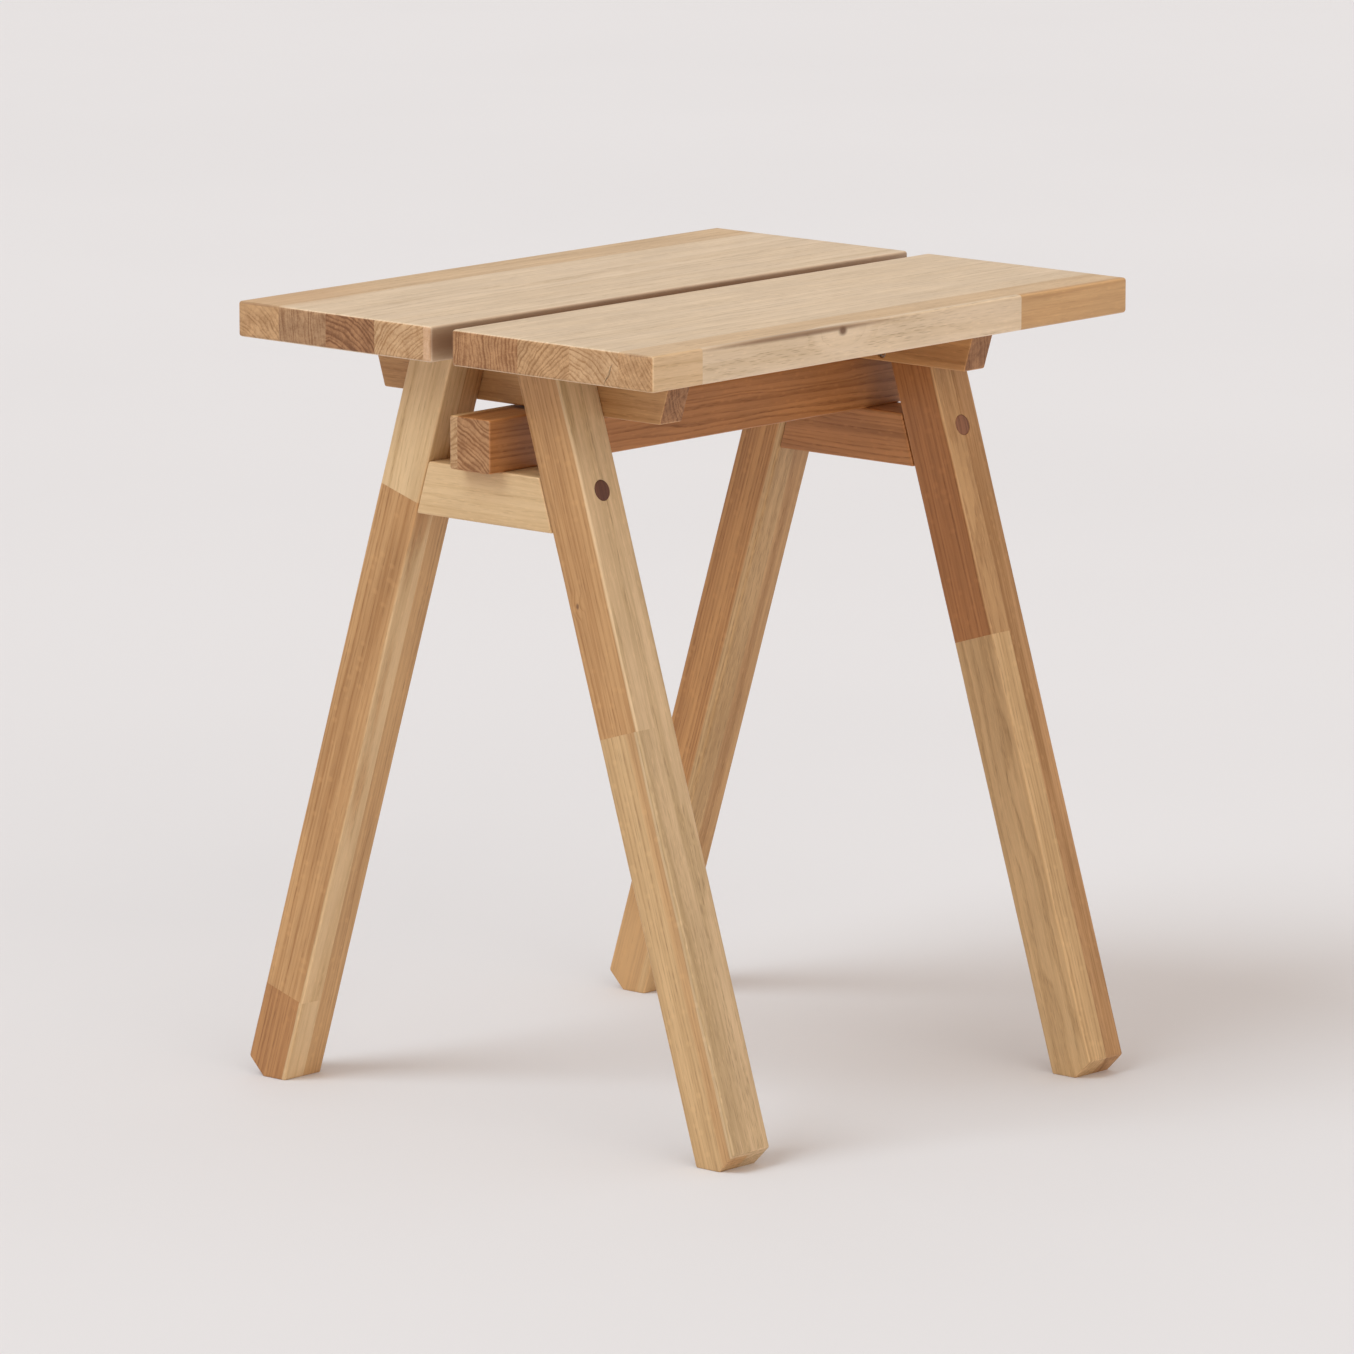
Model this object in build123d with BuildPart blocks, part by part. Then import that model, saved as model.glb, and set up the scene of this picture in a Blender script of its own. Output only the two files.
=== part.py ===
from build123d import *
import os
from collections import namedtuple
from math import cos, radians, sin, tan

# A stool built like a sawhorse. X runs along the seat boards, Y across them and Z up.
# The origin is on the floor, under the middle of the seat. Front is -Y and left is -X.

# --- Driving dimensions, in millimetres and degrees ---
SEAT_HEIGHT = 450.0
SEAT_LENGTH = 400.0
SEAT_WIDTH = 310.0
SEAT_THICKNESS = 20.0
BOARD_GAP = 15.0
BOARD_EASING = 2.0

STOCK = 30.0                # side of the square section of legs, rails and beam
SPLAY = 17.25               # lean of each leg away from the vertical
LEG_REACH = 187.5           # outer face of a leg, carried on down to the floor, from the middle
LEG_EASING = 2.0
FOOT_BEVEL = 11.0
FOOT_EASING = 0.8
TRESTLE_SETBACK = 33.0      # end of the seat to the outer face of a trestle

RAIL_BOTTOM = 338.0
RAIL_EASING = 1.2

BEAM_OVERHANG = 11.0        # how far the beam stands out of each trestle
BEAM_THIN_LAMINATION = 6.0
BEAM_EASING = 1.5

CLEAT_THICKNESS = 18.0
CLEAT_HEIGHT = 30.0
CLEAT_HALF_LENGTH = 113.0   # at the top, where the cleat meets the seat
CLEAT_EASING = 1.2

PLUG_DIAMETER = 12.0
PLUG_LENGTH = 8.0
PLUG_HEIGHT = 363.0
PLUG_FIT = 0.05
SCREW_FIT = 0.05

# Glue lines of the seat boards, as distances from the middle line, outermost last.
BACK_GLUE_LINES = [7.5, 13.5, 50.5, 87.5, 123.5, 155.0]
FRONT_GLUE_LINES = [7.5, 20.5, 56.5, 94.5, 130.0, 155.0]
# End joints of the stave at the front edge of the seat, along X.
FRONT_EDGE_JOINTS = [-160.0, 107.0]

# --- Sizes that follow from them ---
SEAT_BOTTOM = SEAT_HEIGHT - SEAT_THICKNESS
BOARD_WIDTH = (SEAT_WIDTH - BOARD_GAP) / 2
TRESTLE_OUTER = SEAT_LENGTH / 2 - TRESTLE_SETBACK
TRESTLE_INNER = TRESTLE_OUTER - STOCK
TRESTLE_MIDDLE = TRESTLE_OUTER - STOCK / 2
CLEAT_INNER = TRESTLE_INNER - CLEAT_THICKNESS
LEAN = tan(radians(SPLAY))
LEG_WIDTH_LEVEL = STOCK / cos(radians(SPLAY))   # a leg's section measured along a level line
RAIL_TOP = RAIL_BOTTOM + STOCK
BEAM_HALF_LENGTH = TRESTLE_OUTER + BEAM_OVERHANG
BEAM_GLUE_LINE = STOCK / 2 - BEAM_THIN_LAMINATION
CUT_MARGIN = 5.0            # how far cutting solids run past what they cut

# --- Screws ---
Screw = namedtuple("Screw", "head_radius head_height shank_radius length point rim")
LEG_SCREW = Screw(4.8, 3.5, 2.5, 52.0, 5.0, 3.5)        # flat under the head
CLEAT_SCREW = Screw(3.2, 2.0, 1.8, 36.0, 4.0, 0.5)      # the others are countersunk
SEAT_SCREW = Screw(4.0, 2.4, 2.0, 30.0, 4.0, 0.6)
BEAM_SCREW = Screw(4.8, 2.8, 2.5, 50.0, 5.0, 0.6)
SOCKET_DEPTH = 1.6
SOCKET_RADIUS = 2.0

CLEAT_SCREW_PLACE = 42.0            # across the seat, each side of the middle
CLEAT_SCREW_HEIGHTS = [405.0, 422.0]
CLEAT_SCREW_SINK = 1.5
SEAT_SCREW_PLACES = [28.0, 80.0]    # across the seat, each side of the middle
SEAT_SCREW_RECESS = 12.0
SEAT_RECESS_RADIUS = 4.5

ENDS = {"left": -1, "right": 1}
SIDES = {"front": -1, "back": 1}


def leg_outer(height):
    """Distance of a leg's outer face from the middle line, at a height."""
    return LEG_REACH - height * LEAN


def leg_inner(height):
    """Distance of a leg's inner face from the middle line, at a height."""
    return leg_outer(height) - LEG_WIDTH_LEVEL


def leg_middle(height):
    """Distance of a leg's centre line from the middle line, at a height."""
    return leg_outer(height) - LEG_WIDTH_LEVEL / 2


def plug_plane(end, side):
    """Plane on a leg's outer face, centred on its plug, facing out of the wood."""
    outwards = (0, side * cos(radians(SPLAY)), sin(radians(SPLAY)))
    origin = (end * TRESTLE_MIDDLE, side * leg_outer(PLUG_HEIGHT), PLUG_HEIGHT)
    return Plane(origin=origin, x_dir=(1, 0, 0), z_dir=outwards)


def leg_screw_plane(end, side):
    """Plane at the top of the screw head that lies under a leg's plug."""
    return plug_plane(end, side).offset(-PLUG_LENGTH)


def cleat_screw_planes(end, side):
    """Planes at the heads of the two screws from a cleat into a leg, a little below its face."""
    head = end * (CLEAT_INNER + CLEAT_SCREW_SINK)
    return [
        Plane(origin=(head, side * CLEAT_SCREW_PLACE, height), x_dir=(0, 1, 0), z_dir=(-end, 0, 0))
        for height in CLEAT_SCREW_HEIGHTS
    ]


def seat_screw_planes(end):
    """Planes at the heads of the four screws from a cleat up into the seat boards."""
    head_height = SEAT_BOTTOM - CLEAT_HEIGHT + SEAT_SCREW_RECESS
    middle = end * (CLEAT_INNER + CLEAT_THICKNESS / 2)
    return [
        Plane(origin=(middle, side * place, head_height), x_dir=(1, 0, 0), z_dir=(0, 0, -1))
        for side in SIDES.values()
        for place in SEAT_SCREW_PLACES
    ]


def beam_screw_plane(end):
    """Plane at the head of the screw from a rail up into the beam."""
    return Plane(origin=(end * TRESTLE_MIDDLE, 0, RAIL_BOTTOM), x_dir=(1, 0, 0), z_dir=(0, 0, -1))


def turned_about(plane):
    """Plane that holds a screw's axis: its x is the radius, and its y points out of the wood."""
    return Plane(origin=plane.origin, x_dir=plane.x_dir, z_dir=-plane.y_dir)


def add_screw(plane, screw):
    """Turn one screw into the part being built, with a hexagon socket in its head."""
    with BuildSketch(turned_about(plane)) as profile:
        with BuildLine():
            Polyline(
                (0, 0), (screw.head_radius, 0), (screw.head_radius, -screw.rim),
                (screw.shank_radius, -screw.head_height), (screw.shank_radius, screw.point - screw.length),
                (0, -screw.length), close=True,
            )
        make_face()
    revolve(profile.sketch, axis=Axis(plane.origin, plane.z_dir))
    with BuildSketch(plane) as socket:
        RegularPolygon(SOCKET_RADIUS, 6)
    extrude(socket.sketch, amount=-SOCKET_DEPTH, mode=Mode.SUBTRACT)


def cut_screw_hole(plane, screw, mouth=0.0, mouth_radius=None):
    """Cut the hole for one screw, and the mouth above its head, from the part being built."""
    head = screw.head_radius + SCREW_FIT
    shank = screw.shank_radius + SCREW_FIT
    bottom = -screw.length - SCREW_FIT
    with BuildSketch(turned_about(plane)) as profile:
        with BuildLine():
            Polyline(
                (0, 0), (head, 0), (head, -screw.rim - SCREW_FIT), (shank, -screw.head_height - SCREW_FIT),
                (shank, bottom), (0, bottom), close=True,
            )
        make_face()
    revolve(profile.sketch, axis=Axis(plane.origin, plane.z_dir), mode=Mode.SUBTRACT)
    with BuildSketch(plane) as opening:
        Circle(mouth_radius or head)
    extrude(opening.sketch, amount=mouth + CUT_MARGIN, mode=Mode.SUBTRACT)


def cut_leg_screw_hole(end, side):
    """Cut the plug's bore and the hole of the screw under it."""
    cut_screw_hole(leg_screw_plane(end, side), LEG_SCREW, PLUG_LENGTH, PLUG_DIAMETER / 2)


def cut_seat_screw_holes(end):
    """Cut the recesses and holes of the four screws from one cleat into the seat."""
    for plane in seat_screw_planes(end):
        cut_screw_hole(plane, SEAT_SCREW, SEAT_SCREW_RECESS, SEAT_RECESS_RADIUS)


def write(piece, name):
    """Label a finished part and write it as its own node."""
    piece.part.label = name
    export_step(piece.part, f"parts/{name}.step")


# --- Seat: two boards, each glued up from staves that run along X ---

def build_board(side):
    """One whole seat board, eased on every edge, with the screw holes in its underside."""
    with BuildPart() as board:
        with BuildSketch(Plane.XY.offset(SEAT_BOTTOM)):
            with Locations((0, side * (BOARD_GAP + BOARD_WIDTH) / 2)):
                Rectangle(SEAT_LENGTH, BOARD_WIDTH)
        extrude(amount=SEAT_THICKNESS)
        fillet(board.edges(), BOARD_EASING)
        for end in ENDS.values():
            cut_seat_screw_holes(end)
    return board


def build_stave(board, side, near, far, start, stop):
    """The piece of a board between two glue lines and two places along X."""
    with BuildPart() as stave:
        add(board.part)
        with Locations(((start + stop) / 2, side * (near + far) / 2, SEAT_BOTTOM + SEAT_THICKNESS / 2)):
            Box(stop - start, far - near, SEAT_THICKNESS, mode=Mode.INTERSECT)
    return stave


def build_seat():
    """Every stave of both boards."""
    half = SEAT_LENGTH / 2
    for side_name, lines in (("front", FRONT_GLUE_LINES), ("back", BACK_GLUE_LINES)):
        side = SIDES[side_name]
        board = build_board(side)
        for number, (near, far) in enumerate(zip(lines, lines[1:]), start=1):
            name = f"{side_name}_board_stave_{number}"
            at_front_edge = side_name == "front" and far == lines[-1]
            if not at_front_edge:
                write(build_stave(board, side, near, far, -half, half), name)
                continue
            stops = [-half, *FRONT_EDGE_JOINTS, half]
            for place, start, stop in zip(("left", "middle", "right"), stops, stops[1:]):
                write(build_stave(board, side, near, far, start, stop), f"{name}_{place}")


# --- Legs: each glued up from two laminations, some of them end-jointed ---

def build_leg(end, side):
    """One whole leg: level at the top and foot, bevelled at the outer side of the foot."""
    grain = (0, -side * sin(radians(SPLAY)), cos(radians(SPLAY)))
    start = min(end * TRESTLE_OUTER, end * TRESTLE_INNER)
    outline = [
        (leg_inner(0), 0),
        (leg_outer(FOOT_BEVEL) - FOOT_BEVEL, 0),
        (leg_outer(FOOT_BEVEL), FOOT_BEVEL),
        (leg_outer(SEAT_BOTTOM), SEAT_BOTTOM),
        (leg_inner(SEAT_BOTTOM), SEAT_BOTTOM),
    ]
    with BuildPart() as leg:
        with BuildSketch(Plane.YZ.offset(start)):
            with BuildLine():
                Polyline(*[(side * y, z) for y, z in outline], close=True)
            make_face()
        extrude(amount=STOCK)
        fillet(leg.edges().filter_by(Axis((0, 0, 0), grain)), LEG_EASING)
        chamfer(leg.faces().sort_by(Axis.Z)[0].edges(), FOOT_EASING)
        cut_leg_screw_hole(end, side)
        for plane in cleat_screw_planes(end, side):
            cut_screw_hole(plane, CLEAT_SCREW)
    return leg


def build_lamination(leg, end, side, outer, low=None, high=None):
    """Half of a leg along X, between two square end joints given by their heights."""
    def joint_plane(height):
        origin = (end * TRESTLE_MIDDLE, side * leg_middle(height), height)
        upwards = (0, -side * sin(radians(SPLAY)), cos(radians(SPLAY)))
        return Plane(origin=origin, z_dir=upwards)

    faces_right = (end > 0) == outer
    with BuildPart() as lamination:
        add(leg.part)
        split(
            bisect_by=Plane(origin=(end * TRESTLE_MIDDLE, 0, 0), z_dir=(1, 0, 0)),
            keep=Keep.TOP if faces_right else Keep.BOTTOM,
        )
        if low is not None:
            split(bisect_by=joint_plane(low), keep=Keep.TOP)
        if high is not None:
            split(bisect_by=joint_plane(high), keep=Keep.BOTTOM)
    return lamination


# For each leg: its outer and its inner lamination as lengths of (name, lower joint, upper joint).
WHOLE = [("", None, None)]
LEG_LENGTHS = {
    ("left", "back"): (
        [("_foot", None, 51.0), ("_middle", 51.0, 348.0), ("_top", 348.0, None)],
        WHOLE,
    ),
    ("left", "front"): ([("_bottom", None, 232.0), ("_top", 232.0, None)], WHOLE),
    ("right", "back"): (WHOLE, WHOLE),
    ("right", "front"): (WHOLE, [("_bottom", None, 244.0), ("_top", 244.0, None)]),
}


def build_legs():
    """Every length of every lamination of the four legs."""
    for (end_name, side_name), laminations in LEG_LENGTHS.items():
        end, side = ENDS[end_name], SIDES[side_name]
        leg = build_leg(end, side)
        for layer, lengths in zip(("outer", "inner"), laminations):
            for suffix, low, high in lengths:
                piece = build_lamination(leg, end, side, layer == "outer", low, high)
                write(piece, f"{end_name}_{side_name}_leg_{layer}{suffix}")


# --- Rails, cleats and the beam ---

def build_rail(end):
    """The level bar between the two legs of a trestle, which carries the beam."""
    start = min(end * TRESTLE_OUTER, end * TRESTLE_INNER)
    with BuildPart() as rail:
        with BuildSketch(Plane.YZ.offset(start)):
            with BuildLine():
                Polyline(
                    (-leg_inner(RAIL_BOTTOM), RAIL_BOTTOM), (leg_inner(RAIL_BOTTOM), RAIL_BOTTOM),
                    (leg_inner(RAIL_TOP), RAIL_TOP), (-leg_inner(RAIL_TOP), RAIL_TOP), close=True,
                )
            make_face()
        extrude(amount=STOCK)
        fillet(rail.edges(), RAIL_EASING)
        for side in SIDES.values():
            cut_leg_screw_hole(end, side)
        cut_screw_hole(beam_screw_plane(end), BEAM_SCREW)
    return rail


def build_cleat(end):
    """The bar under the seat boards, against the inner faces of a trestle's legs."""
    start = min(end * TRESTLE_INNER, end * CLEAT_INNER)
    bottom = SEAT_BOTTOM - CLEAT_HEIGHT
    half_bottom = CLEAT_HALF_LENGTH - CLEAT_HEIGHT * LEAN
    with BuildPart() as cleat:
        with BuildSketch(Plane.YZ.offset(start)):
            with BuildLine():
                Polyline(
                    (-half_bottom, bottom), (half_bottom, bottom),
                    (CLEAT_HALF_LENGTH, SEAT_BOTTOM), (-CLEAT_HALF_LENGTH, SEAT_BOTTOM), close=True,
                )
            make_face()
        extrude(amount=CLEAT_THICKNESS)
        fillet(cleat.edges(), CLEAT_EASING)
        cut_seat_screw_holes(end)
        for side in SIDES.values():
            for plane in cleat_screw_planes(end, side):
                cut_screw_hole(plane, CLEAT_SCREW, CLEAT_SCREW_SINK)
    return cleat


def build_beam():
    """The whole beam, which lies on both rails and joins the trestles."""
    with BuildPart() as beam:
        with BuildSketch(Plane.XY.offset(RAIL_TOP)):
            Rectangle(2 * BEAM_HALF_LENGTH, STOCK)
        extrude(amount=STOCK)
        fillet(beam.edges(), BEAM_EASING)
        for end in ENDS.values():
            cut_screw_hole(beam_screw_plane(end), BEAM_SCREW)
    return beam


def build_beam_lamination(beam, keep):
    """The beam on one side of its glue line."""
    with BuildPart() as lamination:
        add(beam.part)
        split(bisect_by=Plane(origin=(0, BEAM_GLUE_LINE, 0), z_dir=(0, 1, 0)), keep=keep)
    return lamination


# --- Plugs and screws: identical pieces share a node, as separate solids ---

def build_plugs():
    """The four wooden plugs over the heads of the leg screws."""
    with BuildPart() as plugs:
        for end in ENDS.values():
            for side in SIDES.values():
                with BuildSketch(plug_plane(end, side).offset(-PLUG_LENGTH)):
                    Circle(PLUG_DIAMETER / 2 - PLUG_FIT)
                extrude(amount=PLUG_LENGTH)
    return plugs


def build_screws(planes, screw):
    """A set of identical screws, one at each plane."""
    with BuildPart() as screws:
        for plane in planes:
            add_screw(plane, screw)
    return screws


os.makedirs("parts", exist_ok=True)

build_seat()
build_legs()
for end_name, end in ENDS.items():
    write(build_rail(end), f"{end_name}_rail")
    write(build_cleat(end), f"{end_name}_cleat")

whole_beam = build_beam()
write(build_beam_lamination(whole_beam, Keep.BOTTOM), "beam_main_lamination")
write(build_beam_lamination(whole_beam, Keep.TOP), "beam_thin_lamination")

corners = [(end, side) for end in ENDS.values() for side in SIDES.values()]
write(build_plugs(), "leg_screw_plugs")
write(build_screws([leg_screw_plane(*corner) for corner in corners], LEG_SCREW), "leg_screws")
write(
    build_screws([plane for corner in corners for plane in cleat_screw_planes(*corner)], CLEAT_SCREW),
    "cleat_to_leg_screws",
)
write(
    build_screws([plane for end in ENDS.values() for plane in seat_screw_planes(end)], SEAT_SCREW),
    "cleat_to_seat_screws",
)
write(build_screws([beam_screw_plane(end) for end in ENDS.values()], BEAM_SCREW), "beam_screws")
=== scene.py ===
"""The looks of an oak stool built like a sawhorse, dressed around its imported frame.

X runs along the seat boards, Y across them and Z up. Left is -X and front is -Y. Lengths are in
metres, apart from the patterns of the wood, which work in millimetres.
"""

import logging
import math
from dataclasses import dataclass, field
from enum import Enum
from typing import Callable, Union

import bmesh
import bpy
import numpy as np
from mathutils import Matrix, Vector


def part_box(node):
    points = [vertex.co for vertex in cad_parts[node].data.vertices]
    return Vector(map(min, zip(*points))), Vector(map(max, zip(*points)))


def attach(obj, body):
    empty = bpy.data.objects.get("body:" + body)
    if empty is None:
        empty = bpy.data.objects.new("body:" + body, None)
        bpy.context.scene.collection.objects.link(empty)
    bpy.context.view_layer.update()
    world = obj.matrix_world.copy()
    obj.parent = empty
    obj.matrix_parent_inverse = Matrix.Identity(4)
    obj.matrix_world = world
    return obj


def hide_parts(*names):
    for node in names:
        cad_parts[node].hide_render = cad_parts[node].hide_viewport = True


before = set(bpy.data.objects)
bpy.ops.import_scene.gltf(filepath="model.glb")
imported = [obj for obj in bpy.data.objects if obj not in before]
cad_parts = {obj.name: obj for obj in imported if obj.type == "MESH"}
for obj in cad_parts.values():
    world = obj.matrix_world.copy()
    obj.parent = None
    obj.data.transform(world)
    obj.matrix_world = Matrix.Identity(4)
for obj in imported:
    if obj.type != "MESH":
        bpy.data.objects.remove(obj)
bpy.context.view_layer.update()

log = logging.getLogger("sawhorse_stool")

MM = 0.001
BODY = "root"
SHARP_ANGLE = math.radians(33.0)
CORNER_STEPS = 6
RIM_STEPS = 5
LEAST_RADIUS = 0.02 * MM
SPLAY = math.radians(17.25)
Colour = tuple[float, float, float]
Triple = tuple[float, float, float]
Box = tuple[Vector, Vector]
Socket = bpy.types.NodeSocket
Source = Union[Socket, float, tuple]


class Side(Enum):
    """Front or back of the stool, as the sign of Y."""

    FRONT = -1
    BACK = 1


class Hand(Enum):
    """Left or right end of the stool, as the sign of X."""

    LEFT = -1
    RIGHT = 1


# --- Surfaces ---


def lattice_skin(points: np.ndarray) -> tuple[np.ndarray, np.ndarray]:
    """Closed skin of a block of points.

    The block is a grid in three directions. Its skin is the six outer sheets, which share the points
    along their borders, so that the surface has no seam. The signed volume under the quads tells
    whether they face outwards, and they are turned round if they don't.

    Args:
        points: Positions, of shape (stations, levels, columns, 3).

    Returns:
        The skin's points, of shape (n, 3), and its quads, of shape (m, 4).
    """
    index = np.arange(points[..., 0].size).reshape(points.shape[:3])
    sheets = [
        index[0].T, index[-1],
        index[:, 0], index[:, -1].T,
        index[:, :, 0].T, index[:, :, -1],
    ]
    quads = np.concatenate([
        np.stack([s[:-1, :-1], s[1:, :-1], s[1:, 1:], s[:-1, 1:]], axis=-1).reshape(-1, 4)
        for s in sheets
    ])
    used, quads = np.unique(quads, return_inverse=True)
    quads = quads.reshape(-1, 4)
    skin = points.reshape(-1, 3)[used]
    a, b, c, d = (skin[quads[:, i]] for i in range(4))
    volume = (np.cross(b, c) * a).sum() + (np.cross(c, d) * a).sum()
    return skin, quads if volume > 0 else quads[:, ::-1]


def turned_skin(
    profile: np.ndarray, origin: np.ndarray, axis: np.ndarray, count: int = 48,
) -> tuple[np.ndarray, list[list[int]]]:
    """Closed surface of revolution.

    A point of the profile at radius r and height h goes to origin + h * axis + r * (cos t * u + sin t * v),
    where t goes once round and u, v and the axis are square to one another. The profile starts and ends
    on the axis, where all its copies meet in a single point.

    Args:
        profile: Radius and height of each point, from one pole to the other.
        origin: The place on the axis at height 0.
        axis: Unit direction of the axis.
        count: Number of steps round.

    Returns:
        The points, of shape (n, 3), and a list of faces.
    """
    helper = np.array([1.0, 0.0, 0.0]) if abs(axis[0]) < 0.9 else np.array([0.0, 1.0, 0.0])
    u = np.cross(axis, helper)
    u /= np.linalg.norm(u)
    v = np.cross(axis, u)
    angle = np.linspace(0, 2 * np.pi, count, endpoint=False)
    round_axis = np.cos(angle)[:, None] * u + np.sin(angle)[:, None] * v
    rings = profile[1:-1]
    body = origin + rings[:, 1, None, None] * axis + rings[:, 0, None, None] * round_axis
    poles = origin + profile[[0, -1], 1, None] * axis
    grid = np.arange(len(rings) * count).reshape(len(rings), count)
    after = np.roll(grid, -1, axis=1)
    quads = np.stack([grid[:-1], after[:-1], after[1:], grid[1:]], axis=-1).reshape(-1, 4)
    first, last = grid.size, grid.size + 1
    start_fan = np.stack([np.full(count, first), after[0], grid[0]], axis=-1)
    end_fan = np.stack([np.full(count, last), grid[-1], after[-1]], axis=-1)
    points = np.concatenate([body.reshape(-1, 3), poles])
    rising = profile[-1, 1] > profile[0, 1]
    faces = [*quads.tolist(), *start_fan.tolist(), *end_fan.tolist()]
    return points, faces if rising else [face[::-1] for face in faces]


def new_piece(name: str, points: np.ndarray, faces: np.ndarray | list) -> bpy.types.Object:
    """Put a surface into a new object at the origin, smooth with crisp edges.

    Args:
        name: Name of the piece.
        points: Positions, of shape (n, 3).
        faces: Point numbers of each face.

    Returns:
        The object, linked to the scene.
    """
    mesh = bpy.data.meshes.new(name)
    mesh.from_pydata(points.tolist(), [], faces if isinstance(faces, list) else faces.tolist())
    mesh.validate()
    piece = bpy.data.objects.new(name, mesh)
    bpy.context.scene.collection.objects.link(piece)
    smooth(mesh)
    return piece


def smooth(mesh: bpy.types.Mesh) -> None:
    """Shade a mesh smooth, apart from its true corners."""
    mesh.shade_smooth()
    mesh.set_sharp_from_angle(angle=SHARP_ANGLE)


@dataclass(frozen=True)
class Section:
    """Cross-section of a bar, square to its grain.

    Attributes:
        low: Lowest reach along the two axes across the bar.
        high: Highest reach along them.
        easing: Radius of its eased long edges.
        free: Whether its low and high sides along the first axis, then along the second, are open
            to the air. A long edge is eased where both its sides are free.
        folds: Levels along the second axis that need points of their own.
        columns: Number of steps along the first axis.
        levels: Number of steps along the second axis, between the eased edges.
    """

    low: tuple[float, float]
    high: tuple[float, float]
    easing: float
    free: tuple[bool, bool, bool, bool] = (True, True, True, True)
    folds: tuple[float, ...] = ()
    columns: int = 8
    levels: int = 8


@dataclass(frozen=True)
class Cut:
    """One end of a bar.

    Attributes:
        place: Where the cut lies along the grain, worked out from the level along the second axis.
        easing: Radius of its eased rim, and 0 at a glued joint.
    """

    place: Callable[[np.ndarray], np.ndarray]
    easing: float = 0.0


def square_cut(place: float, easing: float = 0.0) -> Cut:
    """A cut square to the grain, at one place along it."""
    return Cut(lambda level: np.full_like(level, place), easing)


def slow_wave(t: np.ndarray, seed: float) -> np.ndarray:
    """A gentle wave between 0 and 1: three sines of rising pitch, with phases set by the seed."""
    waves = [np.sin(2 * np.pi * pitch * t + seed * (3.7 + pitch)) for pitch in (1.3, 2.9, 6.1)]
    return 0.5 + 0.5 * np.average(waves, axis=0, weights=(3, 2, 1))


def eased_bar(section: Section, start: Cut, stop: Cut, seed: float, stations: int = 40) -> np.ndarray:
    """Block of points that fills a bar with eased edges.

    At depth d below an end with easing e, the section's free sides draw in by e - sqrt(e^2 - (e - d)^2),
    a quarter circle, and the radius of its long edges shrinks by as much, so that the corners are
    round in all directions. Along the bar the radius itself wanders a little, as hand sanding leaves it.

    Args:
        section: The cross-section.
        start: The end at the low side of the grain.
        stop: The end at the high side.
        seed: Sets how the sanding wanders.
        stations: Number of steps between the ends.

    Returns:
        Points (first axis, second axis, grain), of shape (stations, levels, columns, 3).
    """
    def rim(easing: float) -> tuple[np.ndarray, np.ndarray]:
        """Depth and inset of each station of an eased end, from its face inwards."""
        turn = np.linspace(0, np.pi / 2, RIM_STEPS + 1)[:-1] if easing else np.zeros(1)
        return easing * (1 - np.cos(turn)), easing * (1 - np.sin(turn))

    depth_a, inset_a = rim(start.easing)
    depth_b, inset_b = rim(stop.easing)
    first = 0 if start.easing else 1
    middle = np.linspace(0, 1, stations + 1)[first: None if stop.easing else -1]
    flat = np.zeros_like(middle)
    share = np.concatenate([0 * depth_a, middle, 1 + 0 * depth_b])
    from_start = np.concatenate([depth_a, flat + start.easing, 0 * depth_b + start.easing])
    from_stop = np.concatenate([0 * depth_a + stop.easing, flat + stop.easing, depth_b[::-1]])
    inset = np.concatenate([inset_a, flat, inset_b[::-1]])

    turn = np.linspace(0, np.pi / 2, CORNER_STEPS + 1)
    low_level = section.low[1] + inset * section.free[2]
    high_level = section.high[1] - inset * section.free[3]
    lowest, highest = section.low[1] + section.easing, section.high[1] - section.easing
    between = np.linspace(lowest, highest, section.levels + 1)[1:-1]
    between = np.sort(np.concatenate([between, section.folds]))

    def flank(which: int) -> tuple[np.ndarray, np.ndarray]:
        """Work out one side of the bar at every station.

        Args:
            which: 0 for the low side along the first axis, 1 for the high side.

        Returns:
            How far its points draw in from the side, and their levels.
        """
        draw_in, level = [], []
        for end, base, sign in ((2, low_level, 1), (3, high_level, -1)):
            radius = section.easing * (0.82 + 0.18 * slow_wave(share, seed + 2 * which + end)) - inset
            radius = np.maximum(radius, LEAST_RADIUS)[:, None]
            rounded = section.free[which] and section.free[end]
            order = turn if sign > 0 else turn[::-1]
            level.append(base[:, None] + sign * radius * (1 - np.cos(order)))
            draw_in.append(radius * (1 - np.sin(order)) * rounded)
        rows = np.broadcast_to(between, (len(share), len(between)))
        return (
            np.concatenate([draw_in[0], 0 * rows, draw_in[1]], axis=1),
            np.concatenate([level[0], rows, level[1]], axis=1),
        )

    left_draw, left_level = flank(0)
    right_draw, right_level = flank(1)
    left = section.low[0] + inset[:, None] * section.free[0] + left_draw
    right = section.high[0] - inset[:, None] * section.free[1] - right_draw
    across = np.linspace(0, 1, section.columns + 1)
    a = left[..., None] * (1 - across) + right[..., None] * across
    b = left_level[..., None] * (1 - across) + right_level[..., None] * across
    share = share[:, None, None]
    along = (1 - share) * (start.place(b) + from_start[:, None, None])
    along = along + share * (stop.place(b) - from_stop[:, None, None])
    return np.stack([a, b, along], axis=-1)


def bar_along_x(name: str, section: Section, ends: tuple[Cut, Cut], seed: float) -> bpy.types.Object:
    """Make a bar whose grain runs along X, and whose section lies in Y and Z.

    Args:
        name: Name of the piece.
        section: The cross-section.
        ends: Its left and right ends.
        seed: Sets how the sanding wanders.

    Returns:
        The piece.
    """
    points = eased_bar(section, *ends, seed, stations=48)
    return new_piece(name, *lattice_skin(points[..., [2, 0, 1]]))


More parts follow.
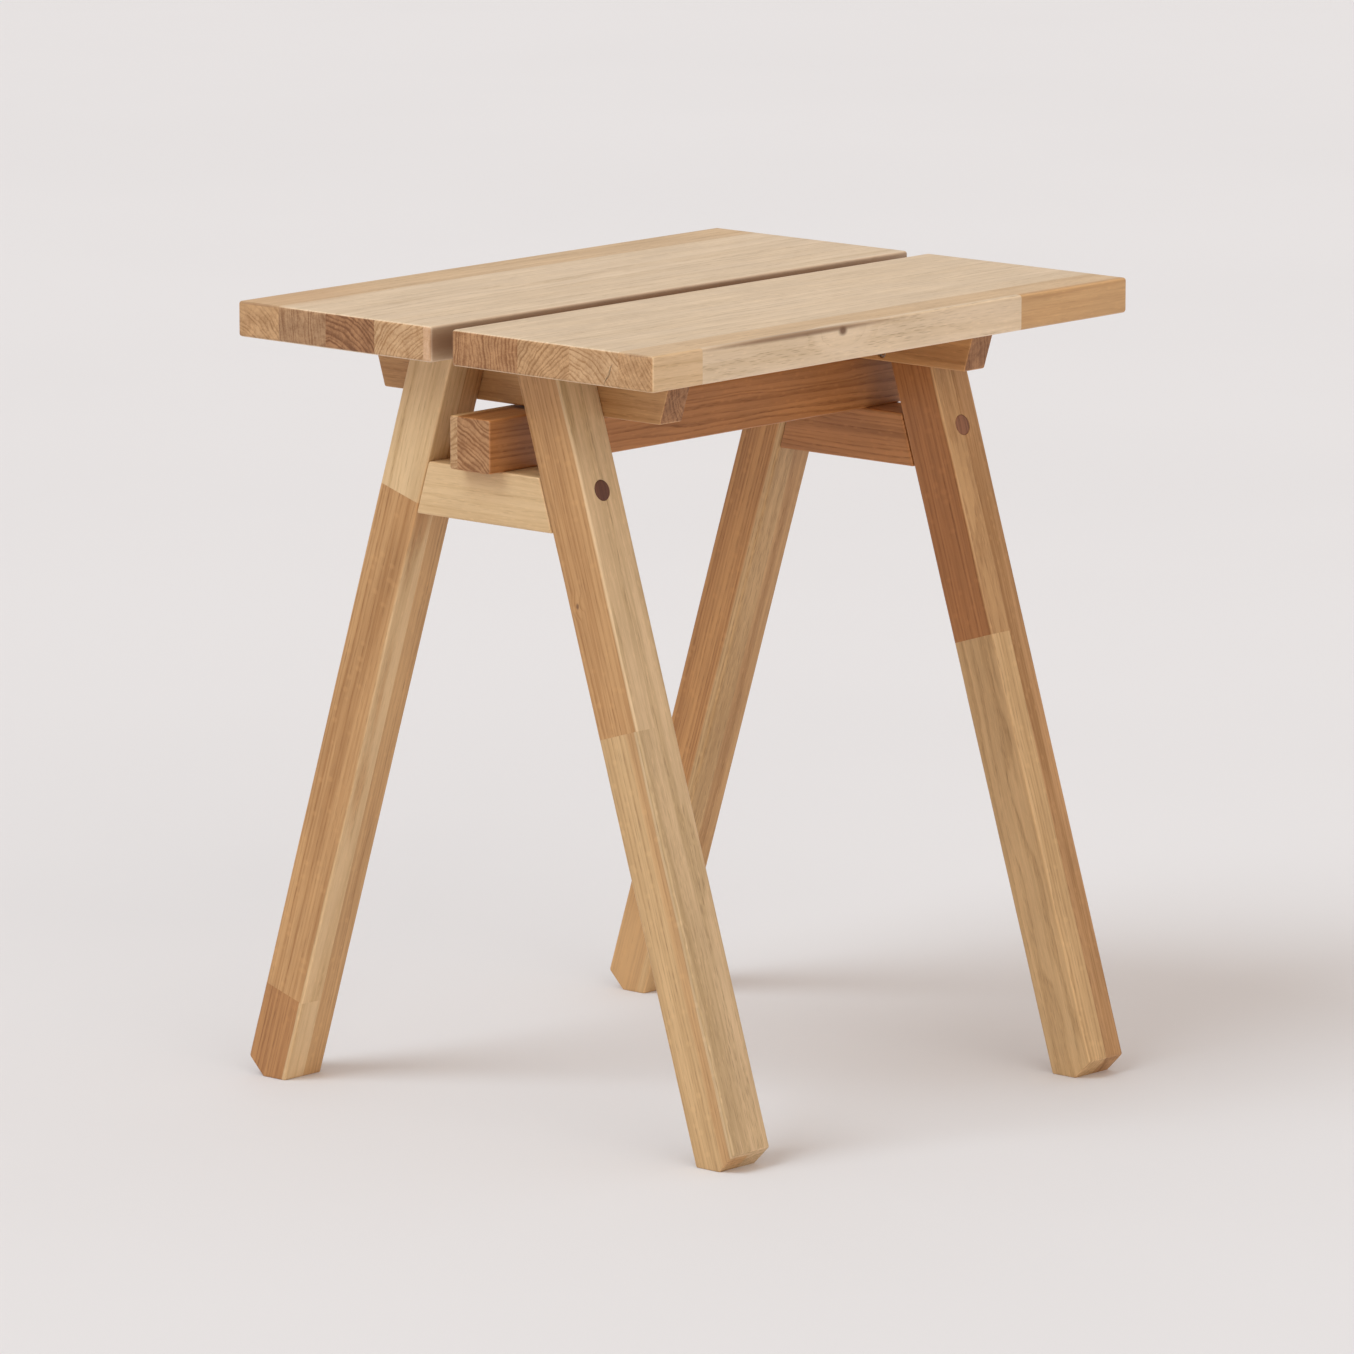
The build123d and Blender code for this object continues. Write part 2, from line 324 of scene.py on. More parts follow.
def cut_away(piece: bpy.types.Object, cutters: list[bpy.types.Object]) -> None:
    """Cut closed shapes out of a piece, and throw the cutters away.

    Args:
        piece: The piece, whose mesh is replaced by the result.
        cutters: Closed shapes.
    """
    for number, cutter in enumerate(cutters):
        modifier = piece.modifiers.new(f"cut_{number}", "BOOLEAN")
        modifier.operation = "DIFFERENCE"
        modifier.solver = "EXACT"
        modifier.object = cutter
    bpy.context.view_layer.update()
    whole = piece.evaluated_get(bpy.context.evaluated_depsgraph_get())
    old, piece.data = piece.data, bpy.data.meshes.new_from_object(whole)
    piece.modifiers.clear()
    piece.data.name = piece.name
    bpy.data.meshes.remove(old)
    smooth(piece.data)
    for cutter in cutters:
        bpy.data.meshes.remove(cutter.data)


def solids_in(node: str) -> list[Box]:
    """Find the separate solids of a node, by walking over the edges of its mesh.

    Args:
        node: The node of the frame.

    Returns:
        Lowest and highest corner of each solid, in order of their lowest corners.
    """
    mesh = bmesh.new()
    mesh.from_mesh(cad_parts[node].data)
    bmesh.ops.remove_doubles(mesh, verts=mesh.verts, dist=0.001 * MM)
    waiting, boxes = set(mesh.verts), []
    while waiting:
        solid, edge = set(), {waiting.pop()}
        while edge:
            solid |= edge
            edge = {e.other_vert(v) for v in edge for e in v.link_edges} - solid
        waiting -= solid
        spots = np.array([v.co for v in solid])
        boxes.append((Vector(spots.min(0)), Vector(spots.max(0))))
    mesh.free()
    return sorted(boxes, key=lambda box: tuple(round(c, 4) for c in box[0]))


def drill(
    origin: Vector, outwards: Triple, mouth: float, depth: float, seat: float, rim: float,
) -> bpy.types.Object:
    """A closed cutter for a screw hole: a wide mouth, then the seat of the screw's head.

    Args:
        origin: Middle of the screw head's top.
        outwards: Unit direction out of the wood.
        mouth: Radius of the mouth.
        depth: How far the mouth runs outwards from the head, to beyond the wood's face.
        seat: Radius of the head's seat.
        rim: Depth of the seat below the head's top.

    Returns:
        The cutter, an object of its own.
    """
    profile = np.array([(0, -rim), (seat, -rim), (seat, 0), (mouth, 0), (mouth, depth), (0, depth)])
    return new_piece("cutter", *turned_skin(profile, np.array(origin), np.array(outwards, float)))


# --- Shader nodes ---


class Graph:
    """Adds nodes to a node tree, and links them by the names of their sockets."""

    def __init__(self, tree: bpy.types.NodeTree) -> None:
        """Work on one tree."""
        self.tree = tree

    def add(self, kind: str, inputs: dict | None = None, **settings: object) -> bpy.types.Node:
        """Add one node.

        Args:
            kind: The node's type name, without its ShaderNode prefix.
            inputs: Value or source socket of each input, by name or number.
            settings: The node's own settings.

        Returns:
            The node.
        """
        node = self.tree.nodes.new(kind if kind.startswith("Node") else f"ShaderNode{kind}")
        for name, value in settings.items():
            setattr(node, name, value)
        for name, value in (inputs or {}).items():
            self.feed(node.inputs[name], value)
        return node

    def feed(self, socket: Socket, value: Source) -> None:
        """Link a source to an input, or set the input's value.

        Args:
            socket: The input.
            value: The source or the value.
        """
        if isinstance(value, Socket):
            self.tree.links.new(value, socket)
        elif isinstance(value, tuple) and len(value) == 3 and socket.type == "RGBA":
            socket.default_value = (*value, 1.0)
        else:
            socket.default_value = value

    def math(self, operation: str, *values: Source) -> Socket:
        """Result of one Math node."""
        return self.add("Math", dict(enumerate(values)), operation=operation).outputs[0]

    def multiply_add(self, value: Source, factor: Source, more: Source) -> Socket:
        """Value times factor, plus more."""
        return self.math("MULTIPLY_ADD", value, factor, more)

    def about_zero(self, value: Source) -> Socket:
        """A value between 0 and 1, moved down to lie about 0."""
        return self.math("SUBTRACT", value, 0.5)

    def vector(self, operation: str, *values: Source) -> Socket:
        """Vector result of one Vector Math node."""
        return self.add("VectorMath", dict(enumerate(values)), operation=operation).outputs[0]

    def ramp(
        self, value: Source, low: float, high: float, at_low: float = 0.0, at_high: float = 1.0,
    ) -> Socket:
        """Value eased smoothly from one level to another, and held beyond them."""
        inputs = {"Value": value, "From Min": low, "From Max": high, "To Min": at_low, "To Max": at_high}
        return self.add("MapRange", inputs, interpolation_type="SMOOTHSTEP").outputs[0]

    def noise(self, place: Source, stretch: Triple, detail: float = 2.0, rough: float = 0.5) -> Socket:
        """Smooth noise.

        Args:
            place: Where it is read, in millimetres.
            stretch: How large its lumps are along the three axes.
            detail: How many finer layers it has.
            rough: How strong they are.

        Returns:
            The noise, between 0 and 1.
        """
        scaled = self.vector("DIVIDE", place, stretch)
        inputs = {"Vector": scaled, "Scale": 1.0, "Detail": detail, "Roughness": rough}
        return self.add("TexNoise", inputs).outputs[0]

    def cells(self, place: Source, stretch: Triple) -> Socket:
        """Distance to the nearest of scattered points, about a stretch apart, in millimetres."""
        scaled = self.vector("DIVIDE", place, stretch)
        return self.add("TexVoronoi", {"Vector": scaled, "Scale": 1.0}).outputs["Distance"]

    def mix(self, share: Source, first: Source, second: Source, blend: str = "MIX") -> Socket:
        """Mix two colours.

        Args:
            share: How much of the second there is.
            first: The first colour.
            second: The second colour.
            blend: How they mix.

        Returns:
            The mix.
        """
        node = self.add("Mix", data_type="RGBA", blend_type=blend)
        for socket, value in zip((node.inputs[0], node.inputs[6], node.inputs[7]), (share, first, second)):
            self.feed(socket, value)
        return node.outputs[2]


def new_material(name: str) -> tuple[bpy.types.Material, Graph]:
    """Start a material.

    Args:
        name: Name of the material.

    Returns:
        The material, which has no nodes yet, and its graph.
    """
    material = bpy.data.materials.new(name)
    material.use_nodes = True
    material.node_tree.nodes.clear()
    return material, Graph(material.node_tree)


def new_group(
    name: str, inputs: dict[str, str], outputs: dict[str, str],
) -> tuple[Graph, bpy.types.Node, bpy.types.Node]:
    """Start a node group.

    Args:
        name: Name of the group.
        inputs: Kind of each input socket by name: Float, Color or Vector.
        outputs: Kind of each output socket by name.

    Returns:
        The group's graph, its inputs' node and its outputs' node.
    """
    tree = bpy.data.node_groups.new(name, "ShaderNodeTree")
    for direction, sockets in (("INPUT", inputs), ("OUTPUT", outputs)):
        for socket, kind in sockets.items():
            tree.interface.new_socket(name=socket, in_out=direction, socket_type=f"NodeSocket{kind}")
    graph = Graph(tree)
    return graph, graph.add("NodeGroupInput"), graph.add("NodeGroupOutput")


def make_facing() -> bpy.types.NodeTree:
    """Where a surface lies on its piece, from its direction in the piece's own axes.

    The grain is along z. A surface that points nearly along it is end grain. One that points between
    the axes is an eased edge.

    Returns:
        The group, whose outputs are the two masks.
    """
    g, given, out = new_group("wood_facing", {"Facing": "Vector"}, {"End": "Float", "Edge": "Float"})
    facing = g.add("SeparateXYZ", {0: g.vector("ABSOLUTE", given.outputs["Facing"])})
    widest = g.math("MAXIMUM", facing.outputs[0], g.math("MAXIMUM", facing.outputs[1], facing.outputs[2]))
    g.feed(out.inputs["End"], g.ramp(facing.outputs[2], 0.62, 0.86))
    g.feed(out.inputs["Edge"], g.ramp(widest, 0.97, 0.78))
    return g.tree


SEED_STEP = (41.3, 27.1, 93.7)
BAND_BORDER = 1.6


def seeded(g: Graph, place: Source, seed: Source) -> Socket:
    """A place moved far off by a seed, so that each piece has noise of its own."""
    same = g.add("CombineXYZ", {0: seed, 1: seed, 2: seed}).outputs[0]
    return g.vector("ADD", place, g.vector("MULTIPLY", same, SEED_STEP))


def make_rings() -> bpy.types.NodeTree:
    """How far a place lies from its log's pith, as the growth rings count it.

    Place is in millimetres, with the pith along its z. Noise of two sizes, drawn out along the grain,
    bends the distance, finer noise ripples it, noise along the distance makes good and poor years of it, and
    swell pushes it aside round a knot.

    Returns:
        The group, whose output is the bent distance in millimetres.
    """
    inputs = {"Place": "Vector", "Seed": "Float", "Wander": "Float", "Swell": "Float"}
    g, given, out = new_group("growth_rings", inputs, {"Reach": "Float"})
    here = seeded(g, given.outputs["Place"], given.outputs["Seed"])
    flat = g.vector("MULTIPLY", given.outputs["Place"], (1.0, 1.0, 0.0))
    reach = g.add("VectorMath", {0: flat}, operation="LENGTH").outputs["Value"]
    slow = g.about_zero(g.noise(here, (34.0, 34.0, 260.0)))
    quick = g.about_zero(g.noise(here, (13.0, 13.0, 85.0)))
    bend = g.multiply_add(quick, 0.7, slow)
    ripple = g.about_zero(g.noise(here, (5.0, 5.0, 70.0)))
    reach = g.multiply_add(bend, given.outputs["Wander"], reach)
    reach = g.multiply_add(ripple, 1.3, g.math("ADD", reach, given.outputs["Swell"]))
    radial = g.add("CombineXYZ", {0: reach, 1: given.outputs["Seed"]}).outputs[0]
    years = g.about_zero(g.noise(radial, (7.0, 1.0, 1.0), detail=1.0))
    g.feed(out.inputs["Reach"], g.multiply_add(years, 7.0, reach))
    return g.tree


def make_band() -> bpy.types.NodeTree:
    """Wood between two distances from the pith, with soft borders.

    Returns:
        The group, whose output is 1 between them and 0 beyond them.
    """
    inputs = {"Reach": "Float", "Start": "Float", "Stop": "Float"}
    g, given, out = new_group("ring_band", inputs, {"Mask": "Float"})
    reach, start, stop = (given.outputs[name] for name in inputs)
    rise = g.math("DIVIDE", g.math("SUBTRACT", reach, start), BAND_BORDER)
    fall = g.math("DIVIDE", g.math("SUBTRACT", stop, reach), BAND_BORDER)
    g.feed(out.inputs["Mask"], g.ramp(g.math("MINIMUM", rise, fall), -0.5, 0.5))
    return g.tree


FIGURE_INPUTS = {
    "Place": "Vector", "Reach": "Float", "End": "Float", "Seed": "Float", "Ring Width": "Float",
    "Light": "Color", "Dark": "Color", "End Light": "Color", "End Dark": "Color",
    "Rings": "Float", "Streaks": "Float", "Drift": "Float", "Pores": "Float", "Flecks": "Float",
}


def make_oak_figure() -> bpy.types.NodeTree:
    """The figure of oak, all through the wood.

    Place is in millimetres, with the log's pith along its z. A ring is a whole step of the reach over
    the ring width. Each ring starts with a band of early wood, dark with open pores, which are long
    thin cells. Rays are flat cells that point at the pith. Fibres and streaks are fine noise drawn out
    along the grain, and drift is broad noise.

    Returns:
        The group, whose outputs are the colour, a mask of the pores and the height of the surface.
    """
    outputs = {"Color": "Color", "Pore": "Float", "Height": "Float"}
    g, given, out = new_group("oak_figure", FIGURE_INPUTS, outputs)
    place, seed, reach = (given.outputs[name] for name in ("Place", "Seed", "Reach"))
    here = seeded(g, place, seed)
    parts = g.add("SeparateXYZ", {0: place})
    phase = g.math("DIVIDE", reach, given.outputs["Ring Width"])
    ring = g.math("FLOOR", phase)
    part = g.math("FRACT", phase)
    ring_seed = g.multiply_add(seed, 7.31, ring)
    ring_tone = g.add("TexWhiteNoise", {"W": ring_seed}, noise_dimensions="1D").outputs["Value"]
    early = g.math("MAXIMUM", g.ramp(part, 0.02, 0.55, 1.0, 0.0), g.ramp(part, 0.88, 1.0))
    early = g.math("MULTIPLY", early, g.multiply_add(ring_tone, 0.8, 0.2))

    pore = g.ramp(g.cells(here, (0.75, 0.75, 11.0)), 0.14, 0.44, 1.0, 0.0)
    pore = g.math("MULTIPLY", pore, g.multiply_add(early, 0.8, 0.2))
    angle = g.math("ARCTAN2", parts.outputs[1], parts.outputs[0])
    fan = g.add("CombineXYZ", {0: g.math("MULTIPLY", angle, 60.0), 1: reach, 2: parts.outputs[2]}).outputs[0]
    fleck = g.ramp(g.cells(seeded(g, fan, seed), (1.5, 12.0, 7.0)), 0.12, 0.34, 1.0, 0.0)
    fibre = g.noise(here, (0.9, 0.9, 34.0), detail=3.0, rough=0.62)
    streak = g.noise(here, (2.6, 2.6, 110.0), detail=2.0)
    drift = g.noise(here, (8.0, 8.0, 190.0), detail=2.0)

    end = given.outputs["End"]
    contrast = g.math("MULTIPLY", given.outputs["Rings"], g.multiply_add(end, 0.6, 0.8))
    tone = g.multiply_add(early, contrast, 0.3)
    fine = g.math("ADD", g.about_zero(fibre), g.about_zero(streak))
    tone = g.multiply_add(fine, given.outputs["Streaks"], tone)
    tone = g.multiply_add(g.about_zero(drift), given.outputs["Drift"], tone)
    light = g.mix(end, given.outputs["Light"], given.outputs["End Light"])
    dark = g.mix(end, given.outputs["Dark"], given.outputs["End Dark"])
    colour = g.mix(g.add("Clamp", {0: tone}).outputs[0], light, dark)
    open_pore = g.math("MULTIPLY", pore, given.outputs["Pores"])
    colour = g.mix(open_pore, colour, g.mix(1.0, dark, (0.42, 0.36, 0.30), "MULTIPLY"))
    ray = g.math("MULTIPLY", fleck, given.outputs["Flecks"])
    colour = g.mix(ray, colour, g.mix(1.0, light, (1.16, 1.14, 1.10), "MULTIPLY"))

    height = g.multiply_add(fibre, 0.35, g.math("MULTIPLY", pore, -1.0))
    height = g.multiply_add(early, -0.25, height)
    for name, value in (("Color", colour), ("Pore", pore), ("Height", height)):
        g.feed(out.inputs[name], value)
    return g.tree


def make_sanding_and_highlight() -> bpy.types.NodeTree:
    """What hands, oil and sanding leave on wood.

    Eased edges are rubbed smoother and get a painted highlight that lightens their colour, and end grain
    stays rougher. Faint mottling breaks up both the colour and the gloss.

    Returns:
        The group, whose outputs are the colour and the roughness.
    """
    inputs = {
        "Color": "Color", "Place": "Vector", "Pore": "Float", "End": "Float", "Edge": "Float",
        "Edge Highlight": "Float", "Roughness": "Float",
    }
    g, given, out = new_group("oak_wear", inputs, {"Color": "Color", "Roughness": "Float"})
    edge, end = given.outputs["Edge"], given.outputs["End"]
    mottle = g.noise(given.outputs["Place"], (16.0, 16.0, 40.0), detail=3.0)

    # Painted highlight: the edge mask times Edge Highlight lightens the colour of eased edges.
    highlight_and_mottle = g.multiply_add(edge, given.outputs["Edge Highlight"], g.ramp(mottle, 0.2, 0.8, 0.94, 1.05))
    bright = g.add("CombineXYZ", {0: highlight_and_mottle, 1: highlight_and_mottle, 2: highlight_and_mottle}).outputs[0]
    colour = g.mix(1.0, given.outputs["Color"], bright, "MULTIPLY")
    rough = g.multiply_add(given.outputs["Pore"], 0.15, given.outputs["Roughness"])
    rough = g.multiply_add(mottle, 0.10, g.multiply_add(edge, -0.05, rough))
    rough = g.multiply_add(end, 0.08, rough)
    g.feed(out.inputs["Color"], colour)
    g.feed(out.inputs["Roughness"], rough)
    return g.tree


def make_spot() -> bpy.types.NodeTree:
    """A soft spot, round or drawn out by its three radii.

    Returns:
        The group, whose output is 1 at the centre and 0 from the radii outwards.
    """
    inputs = {"Place": "Vector", "Centre": "Vector", "Reach": "Vector"}
    g, given, out = new_group("soft_spot", inputs, {"Mask": "Float"})
    away = g.vector("SUBTRACT", given.outputs["Place"], given.outputs["Centre"])
    away = g.vector("DIVIDE", away, given.outputs["Reach"])
    distance = g.add("VectorMath", {0: away}, operation="LENGTH").outputs["Value"]
    g.feed(out.inputs["Mask"], g.ramp(distance, 0.25, 1.0, 1.0, 0.0))
    return g.tree


GROUPS = {
    "facing": make_facing(), "rings": make_rings(), "band": make_band(), "figure": make_oak_figure(),
    "sanding_and_highlight": make_sanding_and_highlight(), "spot": make_spot(),
}


# --- Finishes ---


class Tone(Enum):
    """Light and dark tone of one board of oak, in linear colour."""

    SEAT = ((0.75, 0.58, 0.405), (0.61, 0.45, 0.28))
    OAT = ((0.68, 0.475, 0.28), (0.53, 0.345, 0.175))
    CREAM = ((0.70, 0.48, 0.26), (0.55, 0.35, 0.165))
    PALE = ((0.64, 0.41, 0.20), (0.47, 0.28, 0.12))
    SAND = ((0.66, 0.46, 0.265), (0.46, 0.305, 0.15))
    TAN = ((0.60, 0.355, 0.16), (0.42, 0.22, 0.085))
    HONEY = ((0.56, 0.31, 0.13), (0.38, 0.18, 0.06))
    AMBER = ((0.56, 0.28, 0.10), (0.37, 0.16, 0.048))
    GINGER = ((0.52, 0.285, 0.125), (0.34, 0.165, 0.055))
    RUST = ((0.49, 0.21, 0.068), (0.31, 0.115, 0.029))
    BROWN = ((0.47, 0.225, 0.08), (0.29, 0.115, 0.034))
    WALNUT = ((0.15, 0.052, 0.026), (0.07, 0.020, 0.010))
    CHESTNUT = ((0.28, 0.115, 0.055), (0.16, 0.055, 0.024))
    END_CREAM = ((0.65, 0.41, 0.25), (0.52, 0.29, 0.14))
    END_PALE = ((0.61, 0.38, 0.20), (0.37, 0.19, 0.075))
    END_TAN = ((0.58, 0.34, 0.165), (0.33, 0.165, 0.062))
    END_GREY = ((0.45, 0.26, 0.13), (0.25, 0.115, 0.045))
    END_RUST = ((0.48, 0.25, 0.11), (0.25, 0.10, 0.03))
    END_BROWN = ((0.41, 0.20, 0.085), (0.19, 0.07, 0.02))


@dataclass(frozen=True)
class Band:
    """Wood of another tone between two distances from the pith, such as sapwood.

    Attributes:
        tone: Its tones.
        start: Its inner distance in millimetres.
        stop: Its outer distance.
    """

    tone: Tone
    start: float
    stop: float = 1000.0


@dataclass(frozen=True)
class Spot:
    """A knot, pin knot, dark streak or patch of colour in the wood, or painted shade where shade falls on it.

    Attributes:
        centre: Its place in the stool's frame.
        reach: Its three radii, along X, Y and Z.
        colour: Its colour.
        strength: How far it covers the wood.
        swell: How far it pushes the rings aside, in millimetres.
    """

    centre: Triple
    reach: Triple
    colour: Colour = (0.13, 0.052, 0.018)
    strength: float = 0.9
    swell: float = 0.0


SWELL_REACH = (7.0, 4.0, 4.0)
"""How many times a knot's own radii the rings swell round it, along X, Y and Z."""


@dataclass(frozen=True)
class Oak:
    """One piece of oak.

    Attributes:
        tone: Its light and dark tones.
        seed: Sets its noise.
        pith: Where the log's pith lies off the piece's middle, in millimetres, along the piece's two
            axes across the grain.
        lean: How far the pith leans from the piece's length, in degrees, about those two axes.
        ring_width: Width of a year's ring in millimetres.
        wander: How far slow noise bends the rings, in millimetres.
        rings: Contrast of the rings.
        streaks: Contrast of the fibres.
        drift: Contrast of broad changes of tone.
        pores: Darkness of the pores.
        flecks: Brightness of the rays.
        roughness: How dull its faces are.
        end_tone: Tones of its end grain, where they are others.
        bands: Rings of another tone.
        spots: Knots, streaks and patches, and painted shade.
    """

    tone: Tone
    seed: float
    pith: tuple[float, float] = (20.0, -70.0)
    lean: tuple[float, float] = (0.0, 0.0)
    ring_width: float = 2.6
    wander: float = 7.0
    rings: float = 0.75
    streaks: float = 1.25
    drift: float = 1.7
    pores: float = 0.5
    flecks: float = 0.25
    roughness: float = 0.44
    end_tone: Tone | None = None
    bands: tuple[Band, ...] = ()
    spots: tuple[Spot, ...] = ()

    def material(self, name: str, middle: Vector, axes: Matrix) -> bpy.types.Material:
        """Make this oak's material for one piece.

        Args:
            name: Name of the piece.
            middle: Middle of the piece.
            axes: The piece's two axes across the grain and its grain, as the columns of a matrix.

        Returns:
            The material.
        """
        material, g = new_material(f"oak_{name}")
        source = g.add("TexCoord")
        turn = axes @ Matrix.Rotation(math.radians(self.lean[0]), 3, "X")
        turn = turn @ Matrix.Rotation(math.radians(self.lean[1]), 3, "Y")
        pith = middle + axes @ Vector((*self.pith, 0.0)) * MM
        place = self.mapped(g, source.outputs["Object"], pith, turn, MM)
        facing = self.mapped(g, source.outputs["Normal"], Vector(), axes, 1.0)

        masks = self.placed(g, "facing", {"Facing": facing})
        swell = 0.0
        for spot in self.spots:
            if spot.swell:
                wide = tuple(r * times for r, times in zip(spot.reach, SWELL_REACH))
                halo = self.spot_mask(g, source, spot.centre, wide)
                swell = g.multiply_add(halo, spot.swell, swell)
        rings = self.placed(g, "rings", {
            "Place": place, "Seed": self.seed, "Wander": self.wander, "Swell": swell,
        })
        light, dark = self.tone.value
        for band in self.bands:
            mask = self.placed(g, "band", {
                "Reach": rings.outputs["Reach"], "Start": band.start, "Stop": band.stop,
            }).outputs["Mask"]
            light = g.mix(mask, light, band.tone.value[0])
            dark = g.mix(mask, dark, band.tone.value[1])
        end_light, end_dark = self.end_tone.value if self.end_tone else (light, dark)
        figure = self.placed(g, "figure", {
            "Place": place, "Reach": rings.outputs["Reach"], "End": masks.outputs["End"],
            "Seed": self.seed, "Ring Width": self.ring_width, "Light": light, "Dark": dark,
            "End Light": end_light, "End Dark": end_dark, "Rings": self.rings, "Streaks": self.streaks,
            "Drift": self.drift, "Pores": self.pores, "Flecks": self.flecks,
        })
        colour = figure.outputs["Color"]
        # Spots paint knots, streaks and patches, and also painted shade in the seat's gap and along end
        # arrises.
        for spot in self.spots:
            mask = self.spot_mask(g, source, spot.centre, spot.reach)
            colour = g.mix(g.math("MULTIPLY", mask, spot.strength), colour, spot.colour)

        # Edge Highlight paints a highlight onto the eased edges.
        sanding_and_highlight = self.placed(g, "sanding_and_highlight", {
            "Color": colour, "Place": place, "Pore": figure.outputs["Pore"], "End": masks.outputs["End"],
            "Edge": masks.outputs["Edge"], "Edge Highlight": 0.14, "Roughness": self.roughness,
        })
        bump = g.add("Bump", {"Height": figure.outputs["Height"], "Distance": 0.06 * MM, "Strength": 0.7})
        shader = g.add("BsdfPrincipled", {
            "Base Color": sanding_and_highlight.outputs["Color"], "Roughness": sanding_and_highlight.outputs["Roughness"],
            "Normal": bump.outputs[0], "IOR": 1.5,
        })
        g.add("OutputMaterial", {"Surface": shader.outputs[0]})
        return material

    @staticmethod
    def mapped(g: Graph, vector: Source, origin: Vector, turn: Matrix, unit: float) -> Socket:
        """See a vector from an origin, in turned axes and another unit.

        Args:
            g: The material's graph.
            vector: The vector.
            origin: The origin, in metres.
            turn: The axes, as the columns of a matrix.
            unit: The unit, in metres.

        Returns:
            The vector as seen from there.
        """
        inputs = {
            "Vector": vector, "Location": tuple(origin), "Rotation": tuple(turn.to_euler()),
            "Scale": (unit, unit, unit),
        }
        return g.add("Mapping", inputs, vector_type="TEXTURE").outputs[0]

    @classmethod
    def spot_mask(cls, g: Graph, source: bpy.types.Node, centre: Triple, reach: Triple) -> Socket:
        """Mask of a soft spot in the stool's frame."""
        inputs = {"Place": source.outputs["Object"], "Centre": centre, "Reach": reach}
        return cls.placed(g, "spot", inputs).outputs["Mask"]

    @staticmethod
    def placed(g: Graph, group: str, inputs: dict) -> bpy.types.Node:
        """Place a shared group in a material.

        Args:
            g: The material's graph.
            group: Name of the group.
            inputs: Value or source of each of its inputs.

        Returns:
            The group's node.
        """
        node = g.add("Group", node_tree=GROUPS[group])
        for socket, value in inputs.items():
            g.feed(node.inputs[socket], value)
        return node


def grain_axes(first: Vector, second: Vector, grain: Vector) -> Matrix:
    """Axes of a piece, of which the second is turned round if they would be left-handed.

    Args:
        first: First axis across the grain.
        second: Second axis across the grain.
        grain: Direction of the grain.

    Returns:
        The three as the columns of a matrix.
    """
    if first.cross(second).dot(grain) < 0:
        second = -second
    return Matrix((first, second, grain)).transposed()


X, Y, Z = Vector((1, 0, 0)), Vector((0, 1, 0)), Vector((0, 0, 1))
ALONG_SEAT = grain_axes(Y, Z, X)
ACROSS_SEAT = grain_axes(Z, X, Y)


def finish_piece(piece: bpy.types.Object, oak: Oak, axes: Matrix, slot: str, *nodes: str) -> None:
    """Dress a wooden piece, and let it stand for its node of the frame.

    Args:
        piece: The piece.
        oak: Its wood.
        axes: Its axes, as from grain_axes.
        slot: Name of a material slot; not used.
        nodes: The nodes it stands for.
    """
    corners = np.array([v.co for v in piece.data.vertices])
    middle = Vector((corners.min(0) + corners.max(0)) / 2)
    piece.data.materials.clear()
    piece.data.materials.append(oak.material(piece.name, middle, axes))
    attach(piece, BODY)
    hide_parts(*nodes)
    log.info("%s: %d faces", piece.name, len(piece.data.polygons))


# --- Seat ---


@dataclass(frozen=True)
class Crack:
    """A drying crack in the left end of a stave.

    Attributes:
        start: Where it starts on the end, as y and z.
        stop: Where it stops.
        width: Its width in the middle.
        depth: How far it runs in.
    """

    start: tuple[float, float]
    stop: tuple[float, float]
    width: float = 1.25 * MM
    depth: float = 9 * MM

    def cutter(self, face: float) -> bpy.types.Object:
        """Cutter for it, a wedge that closes with depth.

        Its middle line wanders as a sine across the way from start to stop, and its width swells as
        half a sine along it.

        Args:
            face: Where the end is, along X.

        Returns:
            The cutter, an object of its own.
        """
        t = np.linspace(0, 1, 15)
        wander = 0.35 * MM
        before_face = 1 * MM
        way = np.subtract(self.stop, self.start)
        across = np.array([-way[1], way[0]]) / np.linalg.norm(way)
        middle = self.start + np.outer(t, way) + np.outer(wander * np.sin(9 * t), across)
        half = self.width / 2 * (0.15 + 0.85 * np.sin(np.pi * t))
        spread = half[:, None, None] * np.array([-1.0, 1.0])[None, :, None] * np.array([1.1, 0.1])
        flat = middle[:, None, None] + spread[..., None] * across
        deep = np.broadcast_to(np.array([face - before_face, face + self.depth]), spread.shape)
        return new_piece("crack", *lattice_skin(np.concatenate([deep[..., None], flat], axis=-1)))


